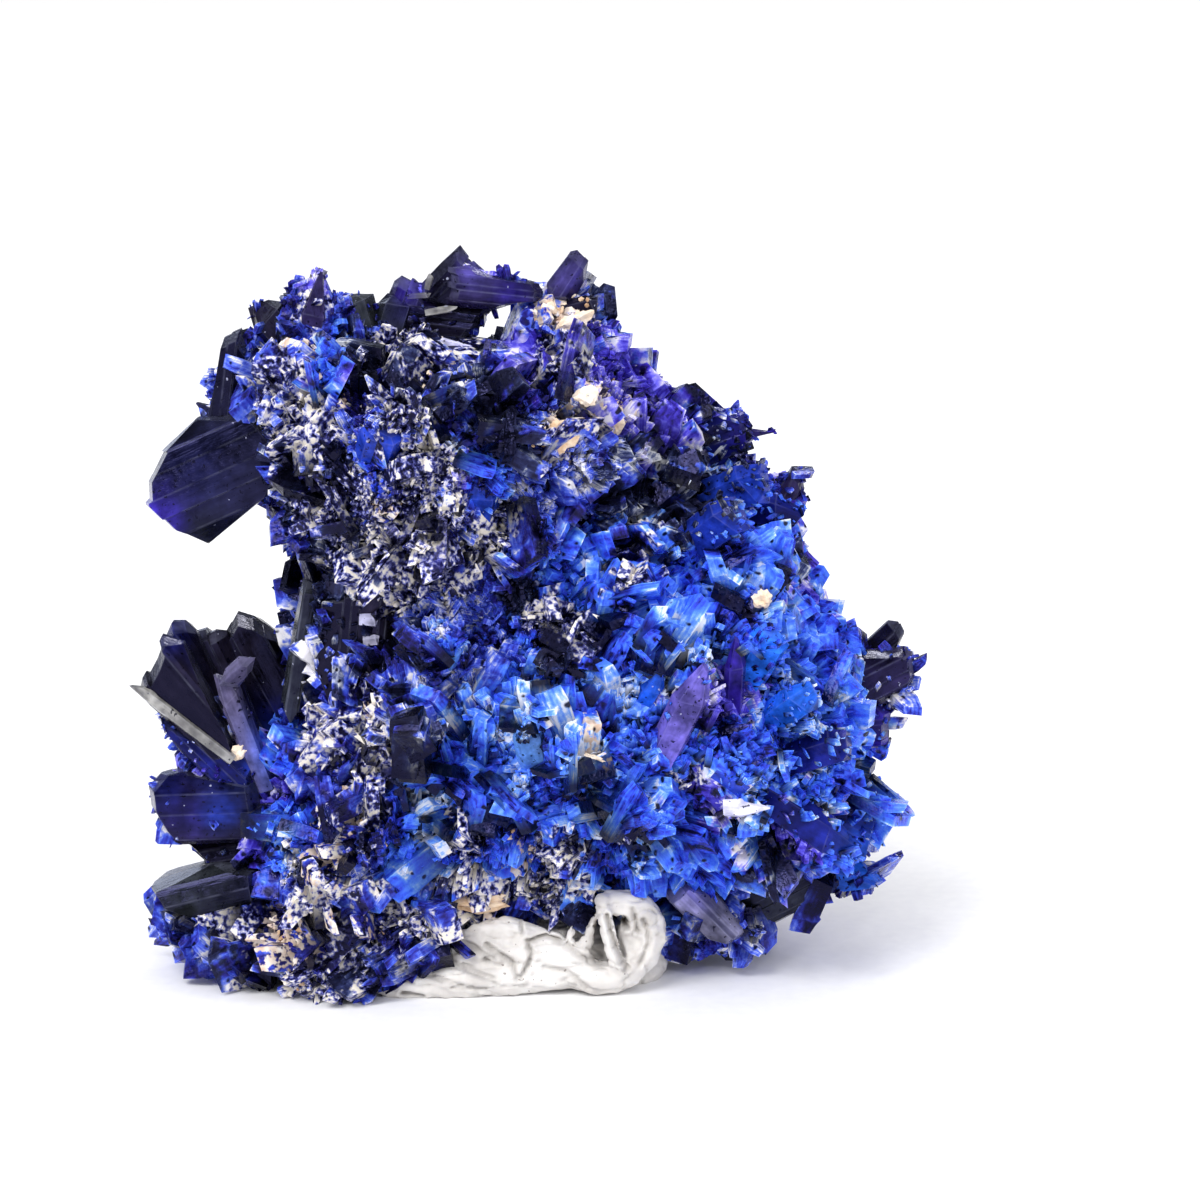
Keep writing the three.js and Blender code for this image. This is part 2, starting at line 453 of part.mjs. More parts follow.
function clusterSolid() {
  const core = coreGeometry();
  const prisms = Object.values(CRYSTALS).map(({ bearing, lean, spin = 0, ...crystal }) => grow({
    ...crystal,
    along: direction(bearing, lean),
    spin: THREE.MathUtils.degToRad(spin),
  }));
  const facets = core.toNonIndexed();
  facets.computeVertexNormals();
  const strewn = STREWN.flatMap((batch) => strewnSolids(new THREE.Mesh(facets), batch));
  const plates = Object.values(PLATES).map(plateSolid);
  const whole = wasm.Manifold.union([solidOf(core), ...plates, ...prisms, ...strewn]);
  const ground = new THREE.BoxGeometry(CUT_WIDTH, CUT_WIDTH, CUT_DEPTH).translate(0, 0, -CUT_DEPTH / 2);
  return whole.subtract(solidOf(ground)).subtract(puttySolid(PUTTY_GAP));
}

// A rolled strand of putty through points given as X, Y, Z and radius, grown all round by a margin.
function strandSolid(points, margin) {
  const balls = points.map(([x, y, z, radius]) => {
    const full = radius + margin;
    const thin = radius < 1.4;
    const ball = thin ? new THREE.OctahedronGeometry(full, 1) : new THREE.IcosahedronGeometry(full * 1.08, 0);
    ball.translate(x, y, z);
    const corners = ball.attributes.position;
    return Array.from({ length: corners.count }, (_, i) => new THREE.Vector3().fromBufferAttribute(corners, i));
  });
  const links = balls.slice(1).map((ball, i) => solidOf(new ConvexGeometry([...balls[i], ...ball])));
  return wasm.Manifold.union(links);
}

// The mounting putty: strands kneaded into one lump, flat where it stands on the ground.
function puttySolid(margin) {
  const strands = Object.values(PUTTY_STRANDS).map((points) => strandSolid(points, margin));
  const lump = wasm.Manifold.union(strands);
  const ground = new THREE.BoxGeometry(CUT_WIDTH, CUT_WIDTH, CUT_DEPTH).translate(0, 0, -CUT_DEPTH / 2);
  return lump.subtract(solidOf(ground));
}

function mesh(name, geometry, color, roughness) {
  const material = new THREE.MeshStandardMaterial({ color, roughness, metalness: 0, flatShading: true });
  const made = new THREE.Mesh(geometry, material);
  made.name = name;
  return made;
}

const cluster = geometryOf(clusterSolid());
const putty = geometryOf(puttySolid(0));

// Both pieces are shifted together so the middle of the specimen's box stands over the origin.
cluster.computeBoundingBox();
const middle = cluster.boundingBox.getCenter(new THREE.Vector3());
cluster.translate(-middle.x, -middle.y, 0);
putty.translate(-middle.x, -middle.y, 0);

const specimen = new THREE.Group();
specimen.add(mesh('azurite_cluster', cluster, 0x1a2a9c, 0.3));
specimen.add(mesh('mounting_putty', putty, 0xded9d2, 0.8));

export default specimen;
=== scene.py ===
"""Looks of an azurite specimen: striated crystals, a druse of fine crystals, clay and its putty."""
import json
import logging
import math
import random
from dataclasses import dataclass, replace
from enum import Enum

import bmesh
import bpy
import numpy as np
from mathutils import Matrix, Vector, noise
from mathutils.bvhtree import BVHTree

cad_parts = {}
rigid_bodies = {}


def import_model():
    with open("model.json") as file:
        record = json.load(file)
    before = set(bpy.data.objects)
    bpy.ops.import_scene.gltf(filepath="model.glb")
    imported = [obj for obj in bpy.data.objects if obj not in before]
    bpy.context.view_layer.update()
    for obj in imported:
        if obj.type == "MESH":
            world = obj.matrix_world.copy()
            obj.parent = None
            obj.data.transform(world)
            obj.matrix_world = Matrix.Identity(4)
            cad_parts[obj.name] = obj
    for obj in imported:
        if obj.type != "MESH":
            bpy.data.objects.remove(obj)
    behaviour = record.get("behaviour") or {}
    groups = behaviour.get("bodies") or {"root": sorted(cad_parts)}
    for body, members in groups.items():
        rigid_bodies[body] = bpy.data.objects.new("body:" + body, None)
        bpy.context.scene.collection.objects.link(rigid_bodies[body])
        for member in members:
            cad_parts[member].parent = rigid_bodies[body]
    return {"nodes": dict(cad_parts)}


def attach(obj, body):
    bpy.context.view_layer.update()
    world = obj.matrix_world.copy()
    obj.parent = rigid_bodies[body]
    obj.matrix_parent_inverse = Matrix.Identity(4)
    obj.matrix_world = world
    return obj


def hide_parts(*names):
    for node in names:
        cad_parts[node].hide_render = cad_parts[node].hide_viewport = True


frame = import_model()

LOG = logging.getLogger("specimen")

MM = 0.001
BUMP_DEPTH = 0.10 * MM
DRAWN_MIDDLE = (0.35, -0.417)
REACH = ((-22.4, -13.1, 0.02), (22.5, 13.2, 40.9))
CAMERA_TARGET = (3.75, 0.417, 20.66)
CAMERA_DISTANCE = 161.905
CAMERA_ELEVATION = 12.0
CAMERA_LENS = 85.0

Colour = tuple[float, float, float]
Spot = tuple[float, float, float]
Array = np.ndarray
Piece = bpy.types.Object
Mesh = bpy.types.Mesh
Node = bpy.types.Node
Material = bpy.types.Material
Socket = bpy.types.NodeSocket


def tone(red: int, green: int, blue: int) -> Colour:
    """Turn red, green and blue of 0 to 255 into a linear colour.

    Args:
        red: red.
        green: green.
        blue: blue.

    Returns:
        The colour as the shaders take it.
    """
    def channel(value: int) -> float:
        """Return one channel, linear."""
        share = value / 255.0
        return share / 12.92 if share <= 0.04045 else ((share + 0.055) / 1.055) ** 2.4
    return channel(red), channel(green), channel(blue)


def stops(*rows: tuple[float, int, int, int]) -> tuple[tuple[float, Colour], ...]:
    """Return a ramp's stops from rows of place, red, green and blue."""
    return tuple((place, tone(*colour)) for place, *colour in rows)


class Tint(Enum):
    """The zones of the cluster, in the order of the zone attribute's channels."""

    ELECTRIC = 0
    VIOLET = 1
    BLACK = 2
    PALE = 3


class Habit(Enum):
    """Crystal shapes as shares: shoulder height, end width, end thickness and slant."""

    BLOCK = (0.84, 0.66, 0.50, 0.12)
    WEDGE = (0.40, 0.10, 0.30, 0.00)
    CHISEL = (0.72, 0.50, 0.08, 0.10)
    BLADE = (0.70, 0.25, 0.40, 0.05)


class Shade(Enum):
    """A deep and a bright colour of a large crystal."""

    SOOT = (tone(7, 6, 14), tone(33, 29, 42))
    SMOKE = (tone(8, 8, 22), tone(32, 33, 60))
    OLIVE = (tone(12, 14, 20), tone(56, 60, 66))
    PEARL = (tone(96, 96, 96), tone(196, 194, 188))
    DOVE = (tone(60, 60, 96), tone(168, 166, 198))
    NAVY = (tone(10, 12, 60), tone(24, 34, 130))
    ROYAL = (tone(18, 24, 110), tone(44, 80, 220))
    INDIGO = (tone(16, 12, 58), tone(46, 38, 130))
    VIOLET = (tone(26, 14, 96), tone(66, 48, 190))
    LAVENDER = (tone(60, 50, 170), tone(136, 124, 224))
    ELECTRIC = (tone(14, 40, 180), tone(44, 118, 250))
    SKY = (tone(40, 104, 230), tone(120, 176, 250))
    ICE = (tone(140, 142, 196), tone(230, 228, 246))
    CLARET = (tone(14, 11, 30), tone(50, 42, 84))
    MAUVE = (tone(40, 36, 62), tone(112, 106, 144))


@dataclass(frozen=True)
class Patch:
    """A round patch on the front of the cluster, in millimetres.

    Args:
        x: middle across the front.
        z: middle height.
        reach: distance at which the patch has faded to a third.
    """

    x: float
    z: float
    reach: float

    def weight(self, points: Array) -> Array:
        """Return how much the patch covers each point, from 0 to 1."""
        away = np.hypot(points[:, 0] - self.x, points[:, 2] - self.z) / self.reach
        return np.exp(-away * away)


def patches(*rows: Spot) -> tuple[Patch, ...]:
    """Return patches from rows of x, z and reach."""
    return tuple(Patch(*row) for row in rows)


def painted(spots: tuple[Patch, ...], points: Array) -> Array:
    """Return how much some patches cover each point together, from 0 to 1."""
    return np.clip(sum(spot.weight(points) for spot in spots), 0.0, 1.0)


ZONES: dict[Tint, tuple[Patch, ...]] = {
    Tint.ELECTRIC: patches(
        (9.2, 20.4, 6.4), (12.4, 21.5, 3.4), (3.7, 14.8, 6.0), (-3.4, 12.5, 4.0), (1.6, 11.4, 4.6),
        (17.2, 10.8, 3.1), (5.7, 6.6, 3.0), (9.9, 28.6, 2.1), (-8.8, 28.9, 1.3), (-14.6, 8.2, 1.9),
        (-6.1, 8.8, 2.4), (-2.4, 29.4, 1.7), (-10.6, 35.2, 1.4), (3.2, 23.1, 3.4), (-13.9, 12.4, 1.7),
        (-4.6, 20.4, 1.0), (14.0, 16.0, 3.6), (11.0, 24.0, 3.0), (6.6, 10.8, 3.8), (10.4, 9.4, 2.4),
        (18.6, 9.6, 3.2), (14.6, 19.6, 2.8), (14.0, 12.4, 3.2), (4.6, 18.6, 2.6), (2.2, 8.2, 2.4),
        (7.6, 4.6, 1.6), (8.6, 5.8, 1.8), (-9.4, 26.4, 1.1), (5.4, 35.4, 1.3), (-12.0, 9.0, 1.2),
    ),
    Tint.VIOLET: patches(
        (15.0, 21.8, 1.6), (3.7, 34.5, 2.2), (5.4, 32.6, 2.0), (9.2, 17.0, 2.0), (11.1, 18.1, 1.4),
        (7.2, 31.3, 1.8), (-14.3, 11.0, 1.5), (-4.3, 29.7, 1.4), (9.2, 11.8, 1.8), (18.9, 19.0, 2.3),
        (14.7, 9.1, 2.2), (-0.5, 34.5, 1.8), (-3.1, 39.3, 2.2), (2.2, 39.8, 1.5), (9.1, 31.8, 1.8),
        (-12.0, 39.4, 1.2), (-18.7, 11.4, 2.3), (-11.8, 33.4, 1.2), (-15.6, 6.6, 1.3),
    ),
    Tint.BLACK: patches(
        (-9.2, 20.4, 4.0), (-9.7, 24.8, 2.4), (5.9, 27.8, 3.4), (-3.4, 3.0, 1.8), (-5.2, 37.0, 2.2),
        (12.8, 6.0, 2.4), (-17.1, 29.1, 3.0), (-18.0, 17.6, 3.4), (-16.6, 7.0, 2.2), (-9.4, 2.0, 1.6),
        (-12.3, 27.6, 1.4), (1.6, 20.4, 1.7), (11.4, 29.4, 1.8), (-14.6, 1.6, 1.6), (2.2, 4.0, 1.6),
        (-6.0, 15.0, 1.5), (-1.2, 31.0, 1.6), (-10.2, 30.0, 1.1), (-6.2, 33.4, 1.1), (-9.2, 35.4, 1.0),
        (-2.8, 33.2, 1.4), (-4.6, 27.6, 0.9), (-12.9, 30.6, 1.0), (-8.7, 25.4, 1.0), (-0.6, 23.0, 1.4),
        (9.0, 26.6, 1.6), (13.6, 22.8, 0.9),
    ),
    Tint.PALE: patches(
        (-13.4, 33.8, 2.0), (-7.2, 35.6, 1.7), (-11.6, 31.6, 1.6), (-7.0, 31.6, 2.1), (-11.4, 27.4, 1.4),
        (-7.0, 27.2, 2.3), (-7.4, 23.2, 1.6), (1.4, 31.6, 1.5), (-11.4, 14.2, 1.4), (-11.6, 5.4, 2.6),
        (-3.0, 5.6, 2.4), (1.2, 6.0, 1.9), (-11.2, 1.4, 1.8), (-3.2, 9.8, 1.5), (-9.0, 15.9, 1.8),
        (1.6, 35.0, 1.6), (5.2, 24.2, 1.4), (-16.8, 3.0, 1.8), (-4.9, 24.6, 2.0), (-8.8, 21.6, 1.2),
        (-3.5, 35.4, 1.2), (-1.8, 26.4, 1.7), (-9.2, 10.2, 1.8), (8.0, 12.8, 1.1), (2.6, 20.9, 1.0),
        (-12.2, 37.4, 1.2), (-7.0, 4.6, 1.8), (1.6, 8.6, 1.5), (-9.4, 28.6, 1.3), (0.4, 21.8, 1.3),
        (5.0, 9.4, 1.1), (-5.0, 29.6, 1.2), (-9.6, 24.0, 1.5), (-8.0, 13.0, 1.2),
    ),
}

CLAY_PATCHES = patches(
    (-9.6, 10.2, 0.9), (-10.6, 7.8, 1.0), (-14.8, 3.4, 0.9), (-9.4, 4.6, 0.9), (-7.6, 27.6, 0.7),
    (-9.9, 33.0, 0.7), (2.4, 36.6, 1.5), (1.6, 31.7, 1.3), (3.0, 33.4, 0.9), (4.4, 31.9, 0.9),
    (-5.3, 34.8, 0.9), (-12.1, 35.1, 0.7), (-11.6, 5.4, 1.5), (-13.1, 3.1, 1.3), (-2.5, 5.0, 1.3),
    (-8.6, 16.2, 0.7), (3.2, 14.8, 0.6), (-7.0, 24.8, 0.6), (-0.6, 8.0, 1.3), (-11.1, 9.1, 0.9),
    (0.8, 37.2, 0.9),
)

FINE_PATCHES = patches(
    (-8.0, 30.0, 6.0), (-2.0, 27.0, 5.0), (3.0, 33.0, 5.0), (-12.0, 5.0, 5.0), (-1.0, 8.0, 4.0),
    (-3.0, 21.0, 4.0),
)


@dataclass(frozen=True)
class Flow:
    """A stretch of the front where the fine crystals lean one way.

    Args:
        patch: where it lies.
        bearing: the way they lean, from +X towards +Z, in degrees.
    """

    patch: Patch
    bearing: float


FLOWS = tuple(Flow(Patch(x, z, reach), bearing) for x, z, reach, bearing in (
    (-9.0, 31.0, 4.5, 125.0), (-3.0, 28.0, 4.0, -50.0), (3.0, 33.0, 4.0, 30.0), (9.5, 29.0, 3.5, 20.0),
    (7.0, 24.0, 4.0, 48.0), (13.5, 22.0, 3.0, 55.0), (7.0, 16.0, 4.0, 62.0), (14.0, 15.0, 4.0, 25.0),
    (17.0, 9.0, 4.0, -25.0), (10.0, 6.0, 4.0, -45.0), (0.5, 14.0, 4.0, 80.0), (-4.0, 18.0, 4.0, 100.0),
    (-7.0, 12.0, 3.5, 70.0), (-12.0, 12.5, 3.0, 110.0), (-10.0, 5.0, 4.5, 200.0), (-1.0, 8.0, 4.0, 250.0),
    (-16.0, 4.0, 3.0, 190.0), (2.0, 20.0, 3.0, 40.0), (-10.0, 20.0, 4.0, 95.0),
))


class Bench:
    """A node tree with short ways to add and join its nodes."""

    def __init__(self, tree: bpy.types.NodeTree) -> None:
        """Keep the tree that the nodes go into."""
        self.tree = tree

    def add(self, kind: str, inputs: dict | None = None, **settings: object) -> Node:
        """Add a node.

        Args:
            kind: the node's type name.
            inputs: values or sockets for its inputs, by name or number.
            settings: the node's own properties.

        Returns:
            The new node.
        """
        node = self.tree.nodes.new(kind)
        for key, value in settings.items():
            setattr(node, key, value)
        self.fill(node, inputs or {})
        return node

    def fill(self, node: Node, inputs: dict) -> None:
        """Feed some inputs of a node, by name or number."""
        for key, value in inputs.items():
            self.feed(node.inputs[key], value)

    def feed(self, socket: Socket, value: object) -> None:
        """Link a socket into another one, or set its value.

        Args:
            socket: the input.
            value: a socket or a value; a colour needs no alpha.
        """
        if isinstance(value, Socket):
            self.tree.links.new(value, socket)
        elif socket.type == "RGBA" and len(value) == 3:
            socket.default_value = (*value, 1.0)
        else:
            socket.default_value = value

    def math(self, operation: str, *values: object, clamp: bool = False) -> Socket:
        """Return the result of a Math node over values or sockets."""
        node = self.add("ShaderNodeMath", dict(enumerate(values)), operation=operation, use_clamp=clamp)
        return node.outputs[0]

    def fitted(self, value: object, factor: object, plus: object = 0.0, clamp: bool = False) -> Socket:
        """Return a value times a factor, plus another value."""
        return self.math("MULTIPLY_ADD", value, factor, plus, clamp=clamp)

    def times(self, first: object, second: object, clamp: bool = False) -> Socket:
        """Return two values multiplied."""
        return self.math("MULTIPLY", first, second, clamp=clamp)

    def vector(self, operation: str, *values: object) -> Socket:
        """Return the result of a Vector Math node over vectors or sockets."""
        return self.add("ShaderNodeVectorMath", dict(enumerate(values)), operation=operation).outputs[0]

    def stretched(self, vector: object, factor: object) -> Socket:
        """Return a vector times a number."""
        inputs = {0: vector, "Scale": factor}
        return self.add("ShaderNodeVectorMath", inputs, operation="SCALE").outputs[0]

    def joined(self, x: object, y: object, z: object = 0.0) -> Socket:
        """Return a vector of three numbers."""
        return self.add("ShaderNodeCombineXYZ", {0: x, 1: y, 2: z}).outputs[0]

    def parts(self, vector: object) -> list:
        """Return the three numbers of a vector."""
        return self.add("ShaderNodeSeparateXYZ", {0: vector}).outputs

    def grey(self, level: object) -> Socket:
        """Return a grey of one level."""
        return self.add("ShaderNodeCombineColor", {0: level, 1: level, 2: level}).outputs[0]

    def cells(self, scale: float, where: object, feature: str = "F1") -> bpy.types.bpy_prop_collection:
        """Return the outputs of a cell pattern with so many cells to the metre."""
        node = self.add("ShaderNodeTexVoronoi", {"Vector": where, "Scale": scale}, feature=feature)
        return node.outputs

    def place(self) -> Socket:
        """Return the Object coordinates."""
        return self.add("ShaderNodeTexCoord").outputs["Object"]

    def mix(self, share: object, first: object, second: object, blend: str = "MIX") -> Socket:
        """Return two colours mixed, by the share of the second and a blend type."""
        inputs = {0: share, 6: first, 7: second}
        return self.add("ShaderNodeMix", inputs, data_type="RGBA", blend_type=blend).outputs[2]

    def ramp(self, factor: object, rows: tuple[tuple[float, Colour], ...]) -> Socket:
        """Return the colour that a ramp gives.

        Args:
            factor: the socket that drives the ramp.
            rows: place and colour of each stop.

        Returns:
            The colour's socket.
        """
        node = self.add("ShaderNodeValToRGB", {0: factor})
        elements = node.color_ramp.elements
        elements.remove(elements[-1])
        for number, (place, colour) in enumerate(rows):
            element = elements[0] if number == 0 else elements.new(place)
            element.position = place
            element.color = (*colour, 1.0)
        return node.outputs[0]

    def noise(self, scale: float, detail: float = 2.0, where: object = None) -> Socket:
        """Return noise with so many ripples to the metre and octaves."""
        inputs = {"Vector": where or self.place(), "Scale": scale, "Detail": detail}
        return self.add("ShaderNodeTexNoise", inputs).outputs[0]

    def attribute(self, name: str, output: str = "Fac") -> Socket:
        """Return one output of a named attribute of the mesh."""
        return self.add("ShaderNodeAttribute", attribute_name=name).outputs[output]

    def bump(self, height: object, strength: float) -> Socket:
        """Return the normal of a fine relief: a height, and the share of it that shows."""
        inputs = {"Height": height, "Strength": strength, "Distance": BUMP_DEPTH}
        return self.add("ShaderNodeBump", inputs).outputs[0]


@dataclass(frozen=True)
class Finish:
    """What every finish shares: a name and a Principled shader."""

    name: str

    def start(self) -> tuple[Material, Bench, Node]:
        """Make an empty material.

        Returns:
            The material, its bench and its Principled shader.
        """
        material = bpy.data.materials.new(self.name)
        material.use_nodes = True
        return material, Bench(material.node_tree), material.node_tree.nodes["Principled BSDF"]


GLEAM = tone(168, 166, 255)
# painted shade: near black for the small pits in the large crystals
PIT_SHADE = tone(4, 4, 10)
FLECK = tone(190, 194, 222)
# painted highlight: the colour that the large crystals' edges are lightened towards
EDGE_HIGHLIGHT = tone(170, 174, 206)
FILM = stops((0.30, 206, 176, 152), (0.48, 232, 212, 194), (0.68, 248, 240, 232))
CREAMS = stops((0.15, 168, 128, 96), (0.45, 214, 178, 140), (0.62, 238, 214, 186), (0.85, 248, 238, 226))
PUTTY_WHITES = stops((0.30, 196, 191, 186), (0.50, 222, 218, 213), (0.72, 236, 233, 229))
# brown of the dirt and painted shade in the putty's creases and cavity
PUTTY_DIRT_AND_SHADE = tone(70, 58, 50)
PUTTY_SPECK = tone(116, 104, 96)
PAPER_WHITES = stops((0.3, 238, 238, 240), (0.7, 243, 243, 244))
PLAIN_BLUES = stops(
    (0.00, 8, 7, 26), (0.20, 22, 19, 68), (0.38, 40, 38, 130), (0.54, 52, 64, 186), (0.68, 72, 100, 224),
    (0.80, 114, 134, 230), (0.91, 176, 184, 232), (1.00, 246, 244, 248),
)
ZONE_BLUES: dict[Tint, tuple[tuple[float, Colour], ...]] = {
    Tint.ELECTRIC: stops(
        (0.00, 11, 11, 44), (0.14, 30, 34, 126), (0.30, 50, 68, 214), (0.48, 60, 102, 244),
        (0.68, 80, 132, 251), (0.84, 116, 168, 252), (0.95, 162, 198, 252), (1.00, 226, 234, 252),
    ),
    Tint.VIOLET: stops(
        (0.00, 9, 7, 28), (0.20, 32, 22, 96), (0.40, 56, 42, 170), (0.60, 84, 78, 214),
        (0.76, 128, 122, 230), (0.90, 184, 178, 238), (1.00, 234, 230, 246),
    ),
    Tint.BLACK: stops(
        (0.00, 4, 4, 12), (0.30, 12, 12, 28), (0.50, 24, 27, 50), (0.66, 38, 44, 82), (0.80, 64, 74, 118),
        (0.92, 124, 132, 158), (1.00, 200, 202, 206),
    ),
    Tint.PALE: stops(
        (0.00, 10, 9, 26), (0.20, 26, 26, 70), (0.36, 56, 59, 126), (0.50, 106, 111, 174),
        (0.64, 164, 165, 202), (0.80, 222, 217, 220), (1.00, 250, 242, 228),
    ),
}


class Ripples:
    """How many ripples or cells to the metre each pattern of the azurite has."""

    SWEEP = 230.0
    GLOOM = 330.0
    CLOUD = 620.0
    ZONE_EDGE = 640.0
    # patches in which the large crystals' edges carry painted highlight
    EDGE_LIGHT = 900.0
    HOLES = 1250.0
    PATCHES = 1300.0
    MOTTLE = 1400.0
    FILM = 1500.0
    GROUND_CELLS = 1500.0
    BEND = 1700.0
    RAGGED = 1900.0
    DUST = 2100.0
    CELLS = 2400.0
    FLECKS = 2700.0
    SPARKLE = 3000.0
    PITS = 3600.0
    SHEEN = 4200.0


@dataclass(frozen=True)
class AzuriteFinish(Finish):
    """Glassy azurite whose blue follows the cluster's zones, with painted shade in its pits and painted
    glints on its facets.

    Args:
        crystals: whether each crystal has a root darkened with painted shade, painted glints on its facets,
            and a colour of its own.
        gloss: roughness of the smoothest crystal.
    """

    crystals: bool = True
    gloss: float = 0.10

    BEND = 0.5 * MM
    FACET_SNAP = (0.4, 0.4, 0.4)
    STREAKS = (5.0, 0.7, 0.0)
    STREAK_APART = 40.0
    BLEND = 7.0
    DARKEST = 0.02

    def build(self) -> Material:
        """Make the material.

        Returns:
            The material.
        """
        material, bench, shader = self.start()
        place = self.warped(bench)
        luck = bench.attribute("luck", "Vector")
        own = bench.parts(luck)
        cell = bench.add("ShaderNodeSeparateColor", {0: bench.cells(Ripples.CELLS, place)["Color"]}).outputs
        light = self.lightness(bench, place, luck, own, cell)
        colour = self.zoned(bench, light, own)
        coat = self.dusting(bench)
        colour = bench.mix(coat, colour, bench.ramp(bench.noise(Ripples.FILM, 2.0), FILM))
        # painted shade: the colour is multiplied by this level, dark in pits, holes and at crystal roots
        level = self.depth(bench, place)
        bench.fill(shader, {
            "Base Color": bench.mix(1.0, colour, bench.grey(level), "MULTIPLY"),
            "Roughness": bench.fitted(coat, 0.45, bench.fitted(cell[1], 0.30, self.gloss)),
            "IOR": 1.6, "Specular IOR Level": 0.26, "Specular Tint": GLEAM,
            "Normal": bench.bump(bench.noise(Ripples.SHEEN, 1.0), 0.55),
        })
        return material

    def warped(self, bench: Bench) -> Socket:
        """Bend the Object coordinates a little, so that no cell is straight.

        Args:
            bench: the material's bench.

        Returns:
            The bent coordinates.
        """
        place = bench.place()
        inputs = {"Vector": place, "Scale": Ripples.BEND, "Detail": 0.0}
        bend = bench.add("ShaderNodeTexNoise", inputs).outputs["Color"]
        centred = bench.vector("SUBTRACT", bend, (0.5, 0.5, 0.5))
        return bench.vector("ADD", place, bench.stretched(centred, self.BEND))

    def lightness(self, bench: Bench, place: object, luck: object, own: list, cell: list) -> Socket:
        """Return how light a spot is drawn: cloudy, with painted highlights on facet rims and painted glints
        on whole facets.

        Args:
            bench: the material's bench.
            place: bent coordinates.
            luck: the crystal's random vector.
            own: the same, as three sockets.
            cell: the cell's random sockets.

        Returns:
            The lightness socket, from 0 to 1.
        """
        cloud = bench.fitted(bench.noise(Ripples.CLOUD, 5.0), 2.3, -0.66)
        cloud = bench.fitted(bench.math("SUBTRACT", bench.noise(Ripples.SWEEP, 2.0), 0.5), 1.3, cloud)
        if self.crystals:
            # painted glints: each facet of each crystal gets its own lightness from the way it faces,
            # standing for the light it reflects
            facing = bench.add("ShaderNodeNewGeometry").outputs["True Normal"]
            seed = bench.vector("ADD", bench.vector("SNAP", facing, self.FACET_SNAP), luck)
            facet = bench.add("ShaderNodeTexWhiteNoise", {"Vector": seed}).outputs["Value"]
            rim = self.rim(bench)
            light = bench.fitted(facet, 0.22, bench.fitted(own[0], 0.12, -0.14))
            light = bench.fitted(bench.math("SUBTRACT", self.streaks(bench, luck), 0.5), 0.9, light)
        else:
            edge = bench.cells(Ripples.GROUND_CELLS, place, "DISTANCE_TO_EDGE")[0]
            rim = bench.fitted(edge, -9.0, 1.0, clamp=True)
            light = bench.fitted(cell[0], 0.5, -0.25)
        # painted highlight: lighter rims on the facets, or on the cells of the ground, in patches
        patchy = bench.fitted(bench.noise(Ripples.PATCHES, 1.0), 3.2, -1.1, clamp=True)
        light = bench.fitted(bench.times(rim, patchy), 0.28, light)
        light = bench.fitted(bench.math("SUBTRACT", cell[2], 0.5), 0.16, light)
        return bench.math("ADD", light, cloud, clamp=True)

    def streaks(self, bench: Bench, luck: object) -> Socket:
        """Return the growth lines along each crystal, from 0 to 1."""
        drawn = bench.vector("MULTIPLY", bench.attribute("face", "Vector"), self.STREAKS)
        return bench.noise(1.0, 2.0, bench.vector("ADD", drawn, bench.stretched(luck, self.STREAK_APART)))

    def rim(self, bench: Bench) -> Socket:
        """Judge how near a spot is to the edge of its facet.

        Args:
            bench: the material's bench.

        Returns:
            The share's socket, from 0 to 1.
        """
        face = bench.parts(bench.attribute("face", "Vector"))
        sides = bench.math("PINGPONG", face[0], 0.5), bench.math("PINGPONG", face[1], 0.5)
        return bench.fitted(bench.math("MINIMUM", *sides), -6.5, 1.0, clamp=True)

    def zoned(self, bench: Bench, light: object, own: list) -> Socket:
        """Return the colour that a lightness has in its zone.

        Args:
            bench: the material's bench.
            light: the lightness socket.
            own: the crystal's random sockets.

        Returns:
            The colour's socket.
        """
        red, green, blue = bench.add("ShaderNodeSeparateColor", {0: bench.attribute("zone", "Color")}).outputs
        cloud = bench.fitted(bench.noise(Ripples.ZONE_EDGE, 4.0), 2.1, -0.55)
        rules = (
            (Tint.ELECTRIC, red, own[1], 1.20), (Tint.VIOLET, green, own[2], 1.0),
            (Tint.BLACK, blue, own[0], 1.0), (Tint.PALE, bench.attribute("zone", "Alpha"), own[1], 0.97),
        )
        colour = bench.ramp(light, PLAIN_BLUES)
        # the whites of the pale zone follow this noise: partly painted glints, partly pale and cream specks
        # on the crystals
        sparkle = bench.fitted(bench.noise(Ripples.SPARKLE, 2.0), 3.6, -1.76)
        sparkle = bench.fitted(light, 0.85, sparkle, clamp=True)
        for tint, weight, dice, share in rules:
            held = bench.fitted(cloud, 1.15, bench.fitted(dice, 0.22, -0.15))
            won = bench.fitted(weight, share, bench.times(held, -1.0))
            drawn = bench.ramp(sparkle if tint is Tint.PALE else light, ZONE_BLUES[tint])
            colour = bench.mix(bench.times(won, self.BLEND, clamp=True), colour, drawn)
            cloud = bench.math("SUBTRACT", 1.0, cloud)
        return colour

    def depth(self, bench: Bench, place: object) -> Socket:
        """Return how open the spot is: painted shade, dark in the pits of the relief, in round holes and at a
        crystal's root.

        Args:
            bench: the material's bench.
            place: bent coordinates.

        Returns:
            The level's socket, from 0 to 1.
        """
        # painted shade: darker where the relief sinks into pits
        ridge = bench.math("ADD", bench.attribute("ridge"), -0.42)
        ragged = bench.fitted(bench.noise(Ripples.RAGGED, 3.0), 0.8, ridge)
        level = bench.fitted(ragged, 2.8, 0.04, clamp=True)
        if self.crystals:
            # painted shade: darker towards each crystal's root
            rise = bench.fitted(bench.attribute("rise"), 1.8, -0.08, clamp=True)
            level = bench.times(bench.fitted(level, 0.88, 0.12), rise)
